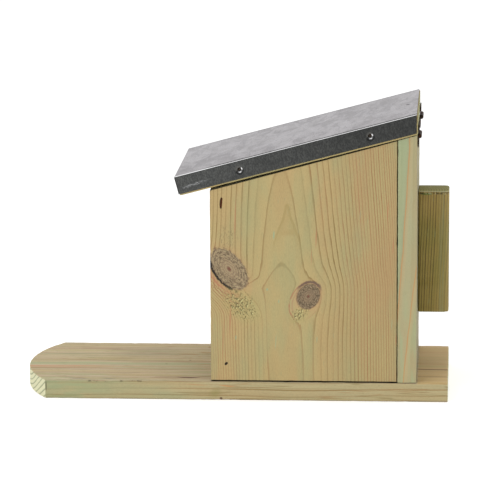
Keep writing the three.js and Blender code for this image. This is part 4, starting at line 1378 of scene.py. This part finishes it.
# =====================================================================================
# stage, light, camera
# =====================================================================================
me = bpy.data.meshes.new("floor")
me.from_pydata([(-30, -30, 0), (30, -30, 0), (30, 30, 0), (-30, 30, 0)], [], [(0, 1, 2, 3)])
floor = bpy.data.objects.new("floor", me)
bpy.context.scene.collection.objects.link(floor)
floor.location.z = -0.0002
fm = bpy.data.materials.new("floor")
fm.use_nodes = True
fp = fm.node_tree.nodes["Principled BSDF"]
fp.inputs["Base Color"].default_value = (0.93, 0.93, 0.93, 1)
fp.inputs["Roughness"].default_value = 0.9
fp.inputs["Specular IOR Level"].default_value = 0.1
fp.inputs["Emission Color"].default_value = (1.0, 1.0, 1.0, 1)
fp.inputs["Emission Strength"].default_value = 0.34
floor.data.materials.append(fm)

world = bpy.data.worlds.new("studio")
bpy.context.scene.world = world
world.use_nodes = True
bg = world.node_tree.nodes["Background"]
bg.inputs["Color"].default_value = (1.0, 1.0, 1.0, 1)
bg.inputs["Strength"].default_value = 0.74


def area(name, at, aim, size, power, colour=(1, 1, 1)):
    d = bpy.data.lights.new(name, "AREA")
    d.shape = "DISK"
    d.size = size
    d.energy = power
    d.color = colour
    o = bpy.data.objects.new(name, d)
    bpy.context.scene.collection.objects.link(o)
    o.location = at
    o.rotation_mode = "QUATERNION"
    o.rotation_quaternion = (Vector(aim) - Vector(at)).to_track_quat("-Z", "Y")
    return o


area("key", (1.5, -1.1, 1.7), (0, 0, 0.1), 1.2, 12.6)
area("top", (0.1, 0.1, 2.2), (0, 0, 0.1), 1.6, 9.0)

cam_data = bpy.data.cameras.new("camera")
cam = bpy.data.objects.new("camera", cam_data)
bpy.context.scene.collection.objects.link(cam)
cam_data.lens = 244.01
cam_data.sensor_width = 36.0
cam_data.clip_start, cam_data.clip_end = 0.1, 100.0
yaw, pitch, roll = (math.radians(v) for v in (-3.9929, 11.1543, 0.3481))
R0 = Matrix(((0, 1, 0), (0, 0, 1), (1, 0, 0)))
cy_, sy_ = math.cos(yaw), math.sin(yaw)
Rz = Matrix(((cy_, -sy_, 0), (sy_, cy_, 0), (0, 0, 1)))
cp_, sp_ = math.cos(pitch), math.sin(pitch)
Rx = Matrix(((1, 0, 0), (0, cp_, -sp_), (0, sp_, cp_)))
cr_, sr_ = math.cos(roll), math.sin(roll)
Rr = Matrix(((cr_, -sr_, 0), (sr_, cr_, 0), (0, 0, 1)))
world_to_cam = Rr @ Rx @ R0 @ Rz
m4 = world_to_cam.transposed().to_4x4()
m4.translation = Vector((3.08721, 0.21742, 0.74992))
cam.matrix_world = m4
bpy.context.scene.camera = cam
bpy.context.scene.view_settings.view_transform = "Standard"
bpy.context.scene.view_settings.look = "None"
